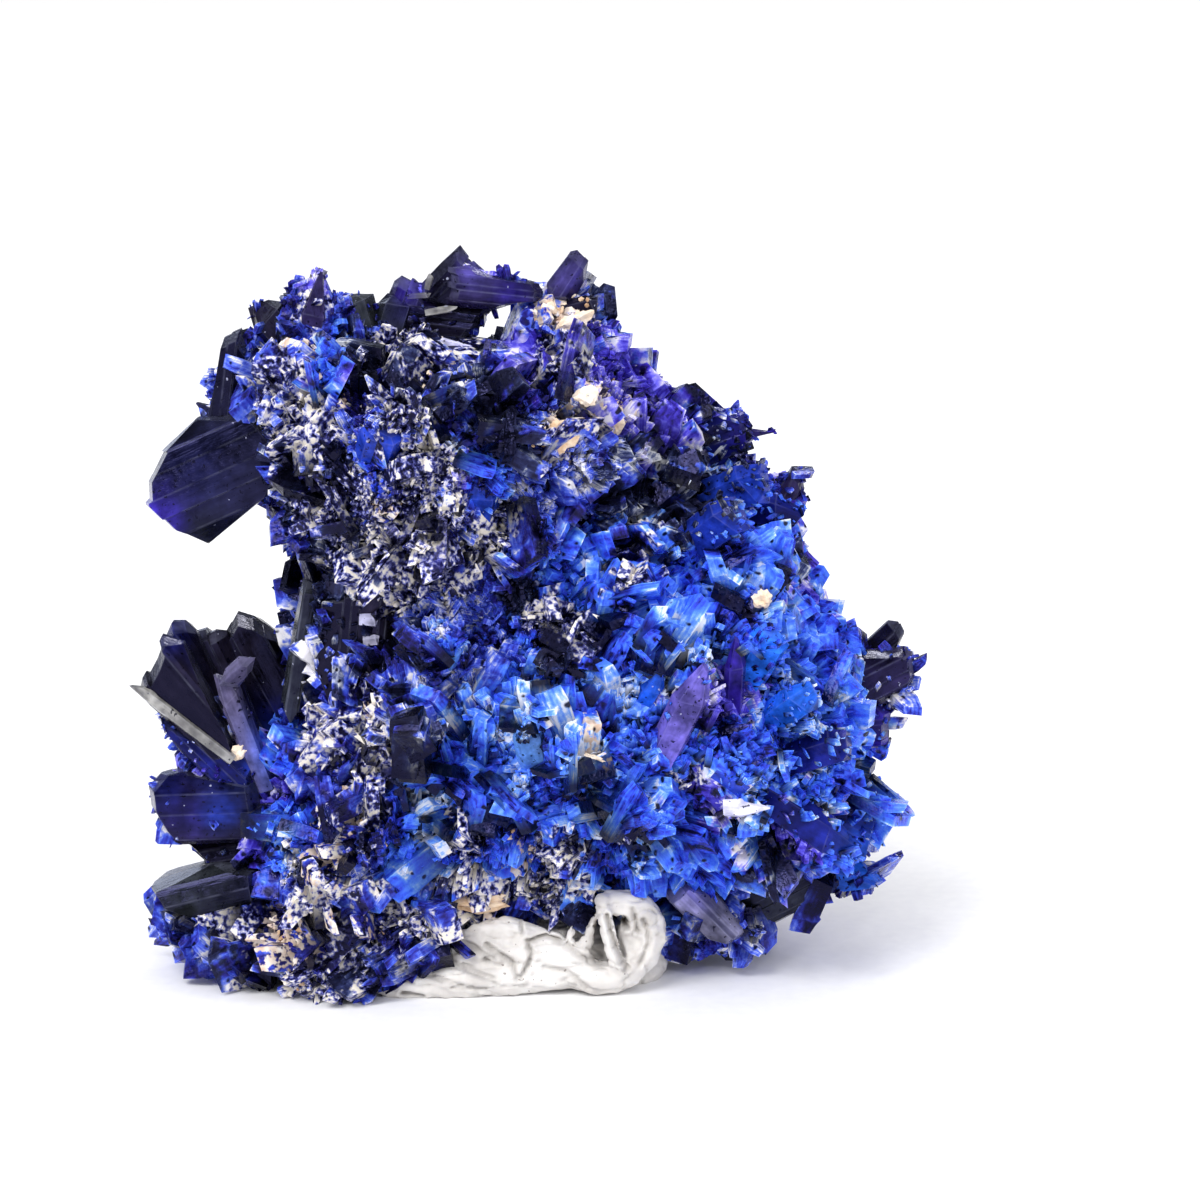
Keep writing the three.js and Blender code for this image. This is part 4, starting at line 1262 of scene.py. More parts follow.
TABULAR = tuple(TabularCrystal(*row) for row in (
    ("snout", Shade.SMOKE, -3.6, 4.6, ((-18.1, 31.7), (-20.1, 29.9), (-21.1, 28.1), (-21.1, 26.9),
        (-19.7, 25.5), (-17.6, 24.7), (-13.8, 27.7), (-12.7, 29.9), (-14.5, 32.2)), 24, 6, 0.05),
    ("brow", Shade.SMOKE, -2.2, 3.4, ((-17.4, 32.4), (-17.0, 34.0), (-16.6, 36.1), (-15.7, 36.5),
        (-15.3, 35.8), (-15.6, 30.8), (-16.8, 30.2), (-17.9, 31.1)), 82, 3, 0.08),
    ("ridge_left", Shade.CLARET, 1.0, 2.6, ((-8.1, 37.1), (-7.5, 38.8), (-7.0, 39.2), (-6.3, 38.9),
        (-5.5, 38.1), (-5.2, 34.9), (-7.8, 34.9)), 72, 4),
    ("ridge_peak", Shade.SOOT, 0.6, 2.6, ((-5.9, 38.7), (-3.7, 40.9), (-3.1, 40.1), (-2.1, 39.2),
        (-2.2, 37.5), (-4.6, 37.1), (-6.1, 37.7)), 46, 5),
    ("ridge_bar", Shade.CLARET, -0.4, 2.2, ((-4.4, 39.7), (-3.1, 39.8), (-2.0, 39.2), (1.3, 38.7),
        (1.1, 37.8), (-0.4, 37.7), (-1.7, 37.3), (-4.5, 37.5)), -6, 5, 0.16),
    ("ridge_under", Shade.SOOT, 1.0, 3.2, ((-7.4, 37.9), (-1.7, 37.4), (-3.2, 35.4), (-4.7, 34.5),
        (-7.6, 34.5)), -8, 7, 0.16, 0.25),
    ("finger", Shade.CLARET, -0.4, 1.6, ((1.0, 38.6), (2.5, 40.6), (2.9, 40.7), (3.5, 40.1), (3.3, 39.0),
        (2.5, 37.6), (1.2, 37.6)), 57, 3),
    ("ear", Shade.NAVY, 0.8, 2.0, ((8.2, 30.7), (8.9, 31.7), (10.5, 31.7), (12.4, 31.4), (12.8, 29.9),
        (11.9, 28.3), (9.8, 27.6), (7.6, 28.9)), 20, 5, 0.14, 0.65),
    ("tuft_top", Shade.CLARET, 0.0, 1.4, ((13.7, 26.3), (14.6, 27.8), (15.0, 28.5), (15.5, 28.0),
        (15.7, 27.1), (14.9, 25.7)), 66, 3, 0.1, 0.2),
    ("tuft_low", Shade.VIOLET, 0.0, 1.6, ((13.5, 26.5), (14.9, 27.0), (16.0, 26.6), (15.4, 25.5),
        (14.5, 24.7), (13.4, 25.0)), 20, 3, 0.1, 0.3),
    ("edge_blade", Shade.VIOLET, -0.8, 1.6, ((14.0, 23.4), (15.2, 24.7), (15.3, 22.9), (15.0, 21.2),
        (13.6, 21.2)), 70, 3, 0.1, 0.3),
    ("tail_top", Shade.SOOT, 1.2, 1.4, ((18.1, 16.7), (20.8, 19.3), (21.4, 19.2), (21.7, 18.6),
        (21.0, 16.9), (19.2, 15.9)), 44, 3, 0.1),
    ("tail_main", Shade.CLARET, 0.0, 2.8, ((17.8, 16.7), (18.8, 17.7), (21.6, 17.9), (22.2, 17.8),
        (22.4, 16.8), (21.8, 15.3), (20.4, 14.5), (17.8, 14.4)), 28, 5, 0.12, 0.15),
    ("tail_low", Shade.VIOLET, 0.2, 2.2, ((17.5, 14.5), (20.4, 14.5), (20.9, 14.1), (20.9, 12.2),
        (19.7, 11.9), (17.5, 12.1)), 4, 4, 0.12, 0.25),
    ("tail_end", Shade.SOOT, 0.3, 1.8, ((16.9, 12.2), (19.6, 11.8), (20.0, 11.0), (18.6, 10.3),
        (16.9, 9.9)), -14, 3, 0.12, 0.2),
    ("flank", Shade.NAVY, -1.8, 4.0, ((15.3, 11.8), (18.4, 11.0), (20.5, 9.9), (20.5, 9.1), (19.8, 6.3),
        (18.2, 5.6), (15.0, 6.0)), -22, 8, 0.1, 0.35),
    ("spur", Shade.ELECTRIC, -1.4, 2.2, ((16.0, 6.3), (19.0, 6.0), (20.5, 4.4), (20.2, 4.0), (18.4, 3.8),
        (16.4, 4.0)), -20, 4, 0.12, 0.3),
    ("foot_dark", Shade.OLIVE, -2.4, 3.6, ((12.4, 6.0), (16.3, 6.0), (17.9, 4.7), (17.0, 4.4), (16.0, 3.9),
        (14.7, 2.5), (13.0, 1.7), (11.2, 3.2)), 28, 6, 0.08),
    ("foot_prism", Shade.DOVE, -5.6, 3.0, ((7.6, 5.0), (8.7, 6.0), (10.3, 5.3), (12.5, 2.8), (11.6, 2.0),
        (10.0, 2.4)), -46, 4, 0.05, 0.05),
    ("rose_a", Shade.SOOT, -4.2, 3.0, ((-21.7, 16.3), (-21.5, 17.2), (-20.3, 19.6), (-19.1, 19.2),
        (-16.4, 13.6), (-16.1, 12.5), (-17.1, 12.3), (-20.9, 15.4)), -52, 3, 0.12),
    ("rose_foot", Shade.NAVY, -3.4, 4.0, ((-20.7, 14.9), (-19.3, 12.8), (-18.8, 11.9), (-17.7, 11.1),
        (-15.4, 10.4), (-15.0, 12.6), (-18.2, 13.9)), -46, 6, 0.12, 0.35),
    ("rose_b", Shade.SOOT, -2.4, 2.8, ((-20.5, 18.9), (-20.0, 20.0), (-19.3, 20.0), (-18.6, 19.4),
        (-15.8, 13.0), (-16.4, 11.7), (-18.4, 12.6)), -60, 3, 0.14),
    ("rose_c", Shade.SOOT, -1.0, 2.6, ((-19.2, 19.0), (-17.9, 19.4), (-17.1, 19.1), (-15.1, 13.0),
        (-15.6, 11.5), (-17.4, 11.8)), -66, 3, 0.14),
    ("rose_d", Shade.SOOT, 0.2, 3.4, ((-17.5, 18.6), (-16.7, 20.0), (-15.8, 19.7), (-13.5, 18.0),
        (-12.9, 13.5), (-15.0, 11.1), (-16.1, 12.3)), -62, 4, 0.12),
    ("rose_hook", Shade.MAUVE, -6.0, 1.4, ((-17.0, 17.1), (-16.6, 18.1), (-15.8, 18.8), (-14.9, 18.7),
        (-15.1, 18.0), (-15.9, 17.0)), 42, 2, 0.06),
    ("slab_edge", Shade.OLIVE, -4.2, 4.6, ((-12.3, 23.1), (-11.3, 23.1), (-11.6, 19.3), (-12.3, 15.5),
        (-13.2, 14.2), (-13.8, 15.6), (-13.3, 18.4), (-12.7, 21.3)), 80, 3, 0.06),
    ("slab_face", Shade.SOOT, -5.6, 4.4, ((-11.4, 22.7), (-7.3, 23.3), (-7.0, 19.6), (-7.6, 16.7),
        (-10.9, 16.2), (-11.8, 18.5)), 84, 7, 0.12, 0.85),
    ("jaw_block", Shade.SOOT, -4.2, 3.8, ((-21.5, 10.9), (-20.7, 11.6), (-19.3, 11.8), (-15.0, 11.2),
        (-14.5, 7.8), (-19.4, 7.5), (-20.1, 7.7), (-20.8, 8.7), (-21.4, 9.8)), 2, 4, 0.08, 0.06),
    ("jaw_under", Shade.SOOT, -3.2, 3.6, ((-19.7, 7.5), (-14.7, 7.9), (-14.3, 5.7), (-17.9, 6.2),
        (-18.8, 6.6)), 10, 5, 0.12, 0.2),
    ("chin", Shade.OLIVE, -4.6, 4.4, ((-21.5, 5.1), (-17.7, 6.6), (-14.8, 6.5), (-14.7, 5.0), (-15.9, 4.0),
        (-16.8, 3.7), (-19.2, 3.6), (-20.9, 4.3)), 14, 4, 0.06),
))

PRISMS = tuple(PrismCrystal(*row) for row in (
    ("brow_flake", Shade.SMOKE, (-16.2, -2.5, 30.9), 146, -10, (2.4, 1.3, 1.6), Habit.WEDGE),
    ("horn", Shade.CLARET, (-11.9, -2.9, 35.9), 78, 4, (3.7, 1.8, 1.8), Habit.WEDGE, 0.35),
    ("horn_side", Shade.SOOT, (-12.5, -2.0, 35.0), 129, 0, (3.4, 2.2, 2.2), Habit.CHISEL),
    ("ridge_ledge", Shade.ICE, (-5.7, -1.7, 35.8), -9, 0, (2.8, 0.5, 0.5), Habit.WEDGE, 0.0),
    # the next three: small pale prisms that stand for reflections under the ridge, painted reflections
    ("glint_a", Shade.PEARL, (-5.5, -1.1, 38.5), 74, 0, (0.8, 0.35, 0.3), Habit.BLOCK, 0.0),
    ("glint_b", Shade.PEARL, (-6.6, -1.1, 38.1), 4, 0, (1.2, 0.32, 0.4), Habit.BLOCK, 0.0),
    ("glint_c", Shade.PEARL, (-5.6, -1.2, 37.2), 10, 0, (1.7, 0.40, 0.4), Habit.BLADE, 0.0),
    ("rose_side", Shade.PEARL, (-16.4, -5.4, 12.7), 141, 0, (6.3, 0.75, 0.9), Habit.BLOCK, 0.0),
    # the next two: pale blocks that stand for glints on the dark slab, painted reflections
    ("slab_light_a", Shade.ICE, (-9.0, -7.7, 21.2), -2, 0, (0.95, 0.7, 0.5), Habit.BLOCK, 0.0),
    ("slab_light_b", Shade.ICE, (-8.8, -7.7, 20.0), 6, 0, (0.8, 0.6, 0.5), Habit.BLOCK, 0.0),
    ("crest_a", Shade.OLIVE, (-9.2, 0.0, 35.2), 105, 0, (2.8, 2.6, 2.6), Habit.BLOCK),
    ("crest_b", Shade.OLIVE, (-7.9, 0.0, 35.4), 73, -10, (2.4, 2.0, 2.2), Habit.BLOCK),
    ("finger_knob", Shade.SOOT, (2.0, -0.6, 37.2), 13, 0, (1.9, 1.2, 1.2), Habit.BLOCK),
    ("ear_spike", Shade.CLARET, (11.6, 1.5, 30.0), 3, 0, (2.3, 0.6, 0.7), Habit.WEDGE),
    ("rose_blade", Shade.MAUVE, (-14.7, -4.3, 10.8), 107, 12, (6.7, 1.3, 1.2), Habit.BLOCK),
    ("violet_a", Shade.LAVENDER, (7.2, -9.4, 13.4), 68, 22, (6.8, 1.9, 1.2), Habit.BLADE),
    ("violet_b", Shade.VIOLET, (11.3, -8.8, 15.8), 89, 25, (5.3, 1.1, 0.9), Habit.BLADE),
    ("navy_block", Shade.ROYAL, (10.2, -8.6, 11.8), 57, 40, (3.6, 3.0, 2.0), Habit.BLOCK, 0.4),
    ("pale_plate", Shade.ICE, (10.8, -10.9, 11.5), 4, 14, (2.4, 1.0, 0.5), Habit.WEDGE, 0.0),
    ("violet_wedge", Shade.NAVY, (13.0, -7.8, 11.4), 328, 6, (5.6, 2.2, 1.6), Habit.CHISEL, 0.35),
    ("plate_a", Shade.ROYAL, (9.0, -1.5, 26.1), 30, 36, (5.6, 2.6, 1.4), Habit.BLOCK, 0.45),
    ("plate_b", Shade.NAVY, (10.8, -1.6, 26.8), 348, 12, (4.4, 2.0, 1.4), Habit.CHISEL, 0.4),
    ("plate_c", Shade.ROYAL, (9.0, -6.5, 25.1), 46, 41, (4.4, 2.4, 1.4), Habit.BLOCK, 0.45),
    ("light_facet", Shade.SKY, (-4.4, -9.0, 18.9), 70, 40, (1.9, 1.3, 0.8), Habit.BLOCK),
    ("pale_facet", Shade.SKY, (0.5, -9.2, 13.4), 96, 35, (3.2, 1.7, 1.1), Habit.BLOCK),
    ("mid_facet", Shade.ROYAL, (-2.6, -7.6, 26.6), 81, 36, (2.8, 2.1, 1.4), Habit.BLOCK, 0.3),
    ("head_facet", Shade.ROYAL, (-7.9, -9.8, 30.4), 70, 39, (2.4, 2.2, 1.2), Habit.BLOCK, 0.3),
    ("fan_a", Shade.ELECTRIC, (13.4, -8.0, 15.6), 46, 33, (3.6, 2.0, 1.2), Habit.CHISEL, 0.45),
    ("fan_b", Shade.NAVY, (14.6, -7.0, 13.1), 26, 26, (3.6, 2.0, 1.4), Habit.BLOCK, 0.45),
    ("fan_c", Shade.ELECTRIC, (12.0, -8.4, 18.0), 68, 35, (3.9, 2.2, 1.4), Habit.BLOCK, 0.5),
    ("fan_d", Shade.ELECTRIC, (6.0, -9.2, 16.2), 66, 35, (3.6, 1.2, 1.0), Habit.CHISEL),
))


@dataclass
class LargeCrystals:
    """The tabular and prismatic crystals that show whole.

    Args:
        seed: where the random numbers start.
    """

    seed: int = 5

    def build(self, ground: "CrystalBody", finish: Material) -> Piece:
        """Build and dress the piece, with the zones that its crust takes on.

        Args:
            ground: the cluster's body, for its zones.
            finish: the large crystals' material.

        Returns:
            The piece.
        """
        dice = random.Random(self.seed)
        shell = CrystalShell()
        for crystal in (*TABULAR, *PRISMS):
            crystal.build(shell, dice)
        piece = shell.piece("large_crystals")
        points = positions(piece.data)
        ground.map_zones(piece.data, points, np.array(shell.crust), np.ones(len(points)))
        dress(piece, finish, "azurite")
        return piece


@dataclass
class CrystalBody:
    """The cluster's own body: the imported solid, roughened between its large crystals.

    Args:
        longest: longest edge after it is divided, in millimetres.
        swell: height of the coarse relief.
        grit: height of the fine relief.
        front: Y in front of which the patches hold.
        gap: lowest and highest corner of the gap under the ridge, which stays open.
    """

    longest: float = 0.5
    swell: float = 0.9
    grit: float = 0.25
    front: float = 3.0
    gap: tuple[Spot, Spot] = ((-5.4, -30.0, 34.7), (0.3, 30.0, 37.8))

    MERGE = 0.002
    ROUNDS = 5
    GROWTH_FOOT = (0.3, 1.3)
    FOOT_RISES = (6.0, 8.0)
    FOOT_FADE = 0.8
    SIDE_FADE = 4.0
    DRIFT_FRONT, DRIFT_BACK = 1.1, 2.2
    DRIFT_TO_FRONT = -0.2
    PITS_BELOW = 0.7

    def build(self, finish: Material) -> Piece:
        """Build and dress the body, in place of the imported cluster.

        Args:
            finish: the body's material.

        Returns:
            The body.
        """
        made = mesh_object("azurite_body", [], [])
        self.divide(frame["nodes"]["azurite_cluster"].data, made.data)
        points, facing = positions(made.data), vertex_normals(made.data)
        cover = self.cover(points)
        ridges = self.ridges(points)
        moved = points + facing * (cover * self.relief(points, ridges))[:, None]
        moved[:, 2] = np.maximum(moved[:, 2], 0.0)
        set_positions(made.data, self.sunk(moved))
        self.map_zones(made.data, points, cover, ridges)
        dress(made, finish, "azurite", "azurite_cluster")
        return made

    def divide(self, solid: Mesh, mesh: Mesh) -> None:
        """Copy the solid into a mesh, merged, with its long edges divided.

        Args:
            solid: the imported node's mesh.
            mesh: the mesh to fill.
        """
        work = bmesh.new()
        work.from_mesh(solid)
        bmesh.ops.remove_doubles(work, verts=work.verts, dist=self.MERGE * MM)
        for _ in range(self.ROUNDS):
            long = [edge for edge in work.edges if edge.calc_length() > self.longest * MM]
            if not long:
                break
            bmesh.ops.subdivide_edges(work, edges=long, cuts=1, use_grid_fill=False)
            bmesh.ops.triangulate(work, faces=[face for face in work.faces if len(face.verts) > 3])
        work.to_mesh(mesh)
        work.free()
        mesh.update()

    def cover(self, points: Array) -> Array:
        """Judge how much the fine crystals cover each point.

        Args:
            points: positions in millimetres.

        Returns:
            From 0 to 1 for each point.
        """
        cover = np.ones(len(points))
        for crystal in TABULAR:
            inside = crystal.contains(points, 0.6 if crystal.plain() else 0.25)
            cover[inside] = np.minimum(cover[inside], crystal.cover)
        cover[self.bare(points, 0.0) == 0.0] = 0.0
        low, high = (np.array(corner) for corner in self.gap)
        cover[np.all((points > low) & (points < high), axis=1)] = 0.0
        return cover

    def ridges(self, points: Array) -> Array:
        """Judge how near each point is to a ridge of the relief.

        Args:
            points: positions in millimetres.

        Returns:
            From 0 in a pit to 1, for each point.
        """
        broad = 1.0 - np.abs(ripple(points, 0.52)) * 3.0
        narrow = 1.0 - np.abs(ripple(points, 1.15, 7.0)) * 2.6
        return np.clip(np.maximum(broad, narrow * 0.9), 0.0, 1.0)

    def relief(self, points: Array, ridges: Array) -> Array:
        """Return the height of the relief at each point, in millimetres."""
        return (ridges - self.PITS_BELOW) * self.swell + ripple(points, 2.2, 3.0) * self.grit

    def sunk(self, points: Array) -> Array:
        """Draw the body in where a large crystal covers it.

        Args:
            points: positions in millimetres.

        Returns:
            The moved positions.
        """
        moved = points.copy()
        for crystal in TABULAR:
            margin, proud, share = (0.5, 1.0, 0.86) if crystal.plain() else (0.1, 0.2, 0.92)
            inside = crystal.contains(points, margin, proud)
            middle = crystal.corners().mean(axis=0)
            depth = crystal.middle_depth()
            moved[inside, 0] = middle[0] + (points[inside, 0] - middle[0]) * share
            moved[inside, 2] = middle[1] + (points[inside, 2] - middle[1]) * share
            moved[inside, 1] = depth + (points[inside, 1] - depth) * 0.5
        return moved

    def map_zones(
        self, mesh: Mesh, points: Array, cover: Array, ridges: Array,
    ) -> None:
        """Store where the body is blue, violet, black, pale, dusty, covered, fine and high.

        Args:
            mesh: the body's mesh.
            points: its positions before they were moved.
            cover: how much the fine crystals cover each point.
            ridges: how near each point is to a ridge.
        """
        shown = np.clip((self.front - points[:, 1]) / self.SIDE_FADE, 0.0, 1.0)
        channels = []
        for tint in Tint:
            guessed = np.clip(0.25 + ripple(points, 0.17, 11.0 * tint.value + 2.0) * 1.4, 0.0, 1.0)
            channels.append(painted(ZONES[tint], points) * shown + guessed * (1.0 - shown))
        left, right = self.FOOT_RISES
        low, more = self.GROWTH_FOOT
        foot = low + more * np.clip((points[:, 0] - left) / (right - left), 0.0, 1.0)
        grown = cover * np.clip((points[:, 2] - foot) / self.FOOT_FADE, 0.0, 1.0)
        fineness = painted(FINE_PATCHES, points) * shown
        ridged = 0.25 + 0.75 * np.clip(ridges * 1.4, 0.0, 1.0)
        for name, values in (
            ("zone", np.stack(channels, axis=1)),
            ("dust", painted(CLAY_PATCHES, points) * shown),
            ("cover", grown * ridged * (1.0 - 0.35 * fineness)),
            ("fine", fineness * cover),
            ("coarse", grown * (1.0 - 0.85 * fineness) * self.bare(points, 1.0)),
            # the ridge values also drive the painted shade in the pits of the azurite finish
            ("ridge", ridges),
            ("flow", self.flow(points)),
        ):
            store(mesh, name, values)

    def flow(self, points: Array) -> Array:
        """Work out the direction that the fine crystals lean in.

        Args:
            points: positions in millimetres.

        Returns:
            A vector for each point.
        """
        ahead = points[:, 1:2] < self.front
        drift = np.stack([ripple(points, 0.22, shift) for shift in (21.0, 34.0, 55.0)], axis=1)
        drift = drift * np.where(ahead, self.DRIFT_FRONT, self.DRIFT_BACK)
        for flow in FLOWS:
            turn = math.radians(flow.bearing)
            way = np.array([math.cos(turn), self.DRIFT_TO_FRONT, math.sin(turn)])
            drift = drift + flow.patch.weight(points)[:, None] * way * np.where(ahead, self.DRIFT_FRONT, 0.0)
        return drift

    def bare(self, points: Array, margin: float) -> Array:
        """Find the points near the prisms that show whole.

        Args:
            points: positions in millimetres.
            margin: how near, in millimetres.

        Returns:
            0 for each point near one, and 1 elsewhere.
        """
        clear = np.ones(len(points))
        for prism in PRISMS:
            clear[prism.contains(points, margin)] = 0.0
        return clear


class Region(Enum):
    """The stretches of the body whose fine crystals are each a piece: lowest and highest corner."""

    HEAD = ((-30, -30, 27.0), (30, 1.5, 50))
    MIDDLE_LEFT = ((-30, -30, 13.0), (-1.0, 1.5, 27.0))
    MIDDLE_RIGHT = ((-1.0, -30, 13.0), (30, 1.5, 27.0))
    LOW_LEFT = ((-30, -30, -1.0), (-1.0, 1.5, 13.0))
    LOW_RIGHT = ((-1.0, -30, -1.0), (30, 1.5, 13.0))
    BACK = ((-30, 1.5, -1.0), (30, 30, 50))

    def holds(self, middles: Array) -> Array:
        """Return which face middles, in millimetres, lie in the region."""
        low, high = (np.array(corner) for corner in self.value)
        return np.all((middles >= low) & (middles < high), axis=1)


def stretch_of(body: Piece, region: Region) -> Piece:
    """Copy the body's faces in one region, with the attributes that scatters read.

    Args:
        body: the cluster's body.
        region: the stretch to keep.

    Returns:
        The copy.
    """
    mesh = body.data
    points = positions(mesh)
    corners = np.empty(len(mesh.loops), np.int32)
    mesh.loops.foreach_get("vertex_index", corners)
    faces = corners.reshape(-1, 3)
    faces = faces[region.holds(points[faces].mean(axis=1))]
    used, numbers = np.unique(faces, return_inverse=True)
    part = mesh_object("stretch", (points[used] * MM).tolist(), numbers.reshape(-1, 3).tolist())
    kept = {"zone": (4, "color"), "flow": (3, "vector")}
    for name in ("zone", "flow", "dust", "cover", "ridge"):
        wide, key = kept.get(name, (1, "value"))
        flat = np.empty(len(mesh.vertices) * wide, np.float32)
        mesh.attributes[name].data.foreach_get(key, flat)
        values = flat.reshape(-1, wide)[used]
        store(part.data, name, values[:, 0] if wide == 1 else values)
    return part


SMALL_HEIGHTS = (-0.6, 0.26, 0.56)


class SmallShape(Enum):
    """Small crystals that repeat: width, thickness, slant of the top and taper, for a length of 1."""

    PRISM = (0.46, 0.32, 0.16, 0.84)
    BLOCK = (0.66, 0.36, 0.14, 0.86)
    SLAB = (0.86, 0.20, 0.18, 0.84)
    LATH = (0.32, 0.14, 0.18, 0.78)
    WEDGE = (0.58, 0.28, 0.14, 0.70)

    def mesh(self) -> Piece:
        """Make the crystal, root at the origin and tip up, a third of it underground.

        Returns:
            The crystal.
        """
        width, thick, slant, taper = self.value
        section = ((0.5, 0.34), (-0.38, 0.5), (-0.5, -0.34), (0.38, -0.5))
        root, shoulder, top = SMALL_HEIGHTS
        points = [(u * width * 0.85, v * thick * 0.85, root) for u, v in section]
        points += [(u * width, v * thick, shoulder + 0.1 * u) for u, v in section]
        points += [(u * width * taper, v * thick * taper, top + slant * (u - 0.5 * v)) for u, v in section]
        made = mesh_object(f"small_{self.name.lower()}", points, tube_faces(0, 3, 4))
        mark_faces(made.data)
        # rise: 0 at the root to 1 towards the tip; the azurite finish paints shade at the root with it
        store(made.data, "rise", np.clip(np.array([point[2] for point in points]) * 1.6, 0.0, 1.0))
        return made


def grain_mesh() -> Piece:
    """Make a grain of clay: a lump about 1 across.

    Returns:
        The grain.
    """
    work = bmesh.new()
    bmesh.ops.create_icosphere(work, subdivisions=1, radius=0.5)
    for vertex in work.verts:
        vertex.co *= 1.0 + 0.35 * noise.noise(vertex.co * 3.1)
        vertex.co.z *= 0.7
    mesh = bpy.data.meshes.new("grain")
    work.to_mesh(mesh)
    work.free()
    return linked(bpy.data.objects.new("grain", mesh))


class ScatterTree:
    """A Geometry Nodes tree that grows small pieces out of a surface."""

    INPUTS = (
        ("Density", "NodeSocketFloat"), ("Smallest", "NodeSocketFloat"), ("Largest", "NodeSocketFloat"),
        ("Tilt", "NodeSocketFloat"), ("Lean", "NodeSocketFloat"),
        ("Seed", "NodeSocketInt"), ("Shapes", "NodeSocketCollection"),
        ("Thinned By", "NodeSocketString"), ("Finish", "NodeSocketMaterial"),
    )
    STRETCH = ((0.75, 0.75, 0.7), (1.35, 1.35, 1.25))
    FEWER_LARGE = 1.7
    MANY = 99

    def __init__(self) -> None:
        """Build the tree."""
        self.tree = bpy.data.node_groups.new("druse", "GeometryNodeTree")
        faces = self.tree.interface
        faces.new_socket(name="Surface", in_out="INPUT", socket_type="NodeSocketGeometry")
        self.sockets = {
            name: faces.new_socket(name=name, in_out="INPUT", socket_type=kind).identifier
            for name, kind in self.INPUTS
        }
        faces.new_socket(name="Crystals", in_out="OUTPUT", socket_type="NodeSocketGeometry")
        self.wire(Bench(self.tree))

    def draw(self, bench: Bench, kind: str, seed: object, low: object = None, high: object = None) -> Socket:
        """Add a random value to the tree.

        Args:
            bench: the tree's bench.
            kind: FLOAT, INT or FLOAT_VECTOR.
            seed: the seed's value or socket.
            low: lowest value.
            high: highest value.

        Returns:
            The random socket.
        """
        node = bench.add("FunctionNodeRandomValue", data_type=kind)
        number = {"FLOAT_VECTOR": 0, "FLOAT": 2, "INT": 4}[kind]
        if low is not None:
            bench.feed(node.inputs[number], low)
            bench.feed(node.inputs[number + 1], high)
        bench.feed(node.inputs["Seed"], seed)
        return node.outputs[{"FLOAT_VECTOR": 0, "FLOAT": 1, "INT": 2}[kind]]

    def wire(self, bench: Bench) -> None:
        """Join the nodes: points, random turns and sizes, instances, real mesh, material.

        Args:
            bench: the tree's bench.
        """
        given = bench.add("NodeGroupInput").outputs
        seed = given["Seed"]
        named = bench.add("GeometryNodeInputNamedAttribute", {"Name": given["Thinned By"]}, data_type="FLOAT")
        density = bench.times(given["Density"], named.outputs["Attribute"])
        spread = bench.add("GeometryNodeDistributePointsOnFaces", {
            "Mesh": given["Surface"], "Density": density, "Seed": seed,
        })
        tilt = given["Tilt"]
        under = bench.times(tilt, -1.0)
        low = bench.joined(under, under, bench.times(tilt, -2.0))
        high = bench.joined(tilt, tilt, bench.times(tilt, 2.0))
        turn = self.draw(bench, "FLOAT_VECTOR", bench.math("ADD", seed, 1), low, high)
        leaning = self.lean(bench, spread, given["Lean"])
        facing = bench.add("FunctionNodeRotateRotation", {0: leaning, 1: turn}, rotation_space="LOCAL")
        chance = self.draw(bench, "FLOAT", bench.math("ADD", seed, 2), 0.0, 1.0)
        share = bench.math("POWER", chance, self.FEWER_LARGE)
        spare = bench.math("SUBTRACT", given["Largest"], given["Smallest"])
        shape = self.draw(bench, "FLOAT_VECTOR", bench.math("ADD", seed, 3), *self.STRETCH)
        scaled = bench.stretched(shape, bench.fitted(spare, share, given["Smallest"]))
        shapes = bench.add("GeometryNodeCollectionInfo", {
            "Collection": given["Shapes"], "Separate Children": True, "Reset Children": True,
        })
        placed = bench.add("GeometryNodeInstanceOnPoints", {
            "Points": spread.outputs["Points"], "Instance": shapes.outputs[0], "Pick Instance": True,
            "Instance Index": self.draw(bench, "INT", bench.math("ADD", seed, 4), 0, self.MANY),
            "Rotation": facing.outputs[0], "Scale": scaled,
        })
        lucky = bench.add("GeometryNodeStoreNamedAttribute", {
            "Geometry": placed.outputs[0], "Name": "luck",
            "Value": self.draw(bench, "FLOAT_VECTOR", bench.math("ADD", seed, 5)),
        }, data_type="FLOAT_VECTOR", domain="INSTANCE")
        real = bench.add("GeometryNodeRealizeInstances", {"Geometry": lucky.outputs[0]})
        dressed = {"Geometry": real.outputs[0], "Material": given["Finish"]}
        bench.add("NodeGroupOutput", {0: bench.add("GeometryNodeSetMaterial", dressed).outputs[0]})

    def lean(self, bench: Bench, spread: Node, amount: object) -> Socket:
        """Return the rotation that leans each piece from the surface's normal along the flow.

        Args:
            bench: the tree's bench.
            spread: the node that spreads the points.
            amount: how strongly they lean.

        Returns:
            The rotation's socket.
        """
        named = bench.add("GeometryNodeInputNamedAttribute", {"Name": "flow"}, data_type="FLOAT_VECTOR")
        normal = spread.outputs["Normal"]
        beside = bench.vector("CROSS_PRODUCT", named.outputs["Attribute"], normal)
        level = bench.vector("CROSS_PRODUCT", normal, beside)
        upward = bench.vector("ADD", normal, bench.stretched(level, amount))
        first = bench.add("FunctionNodeAlignRotationToVector", {
            "Rotation": spread.outputs["Rotation"], "Vector": upward,
        }, axis="Z")
        second = bench.add("FunctionNodeAlignRotationToVector", {
            "Rotation": first.outputs[0], "Vector": beside,
        }, axis="X", pivot_axis="Z")
        return second.outputs[0]


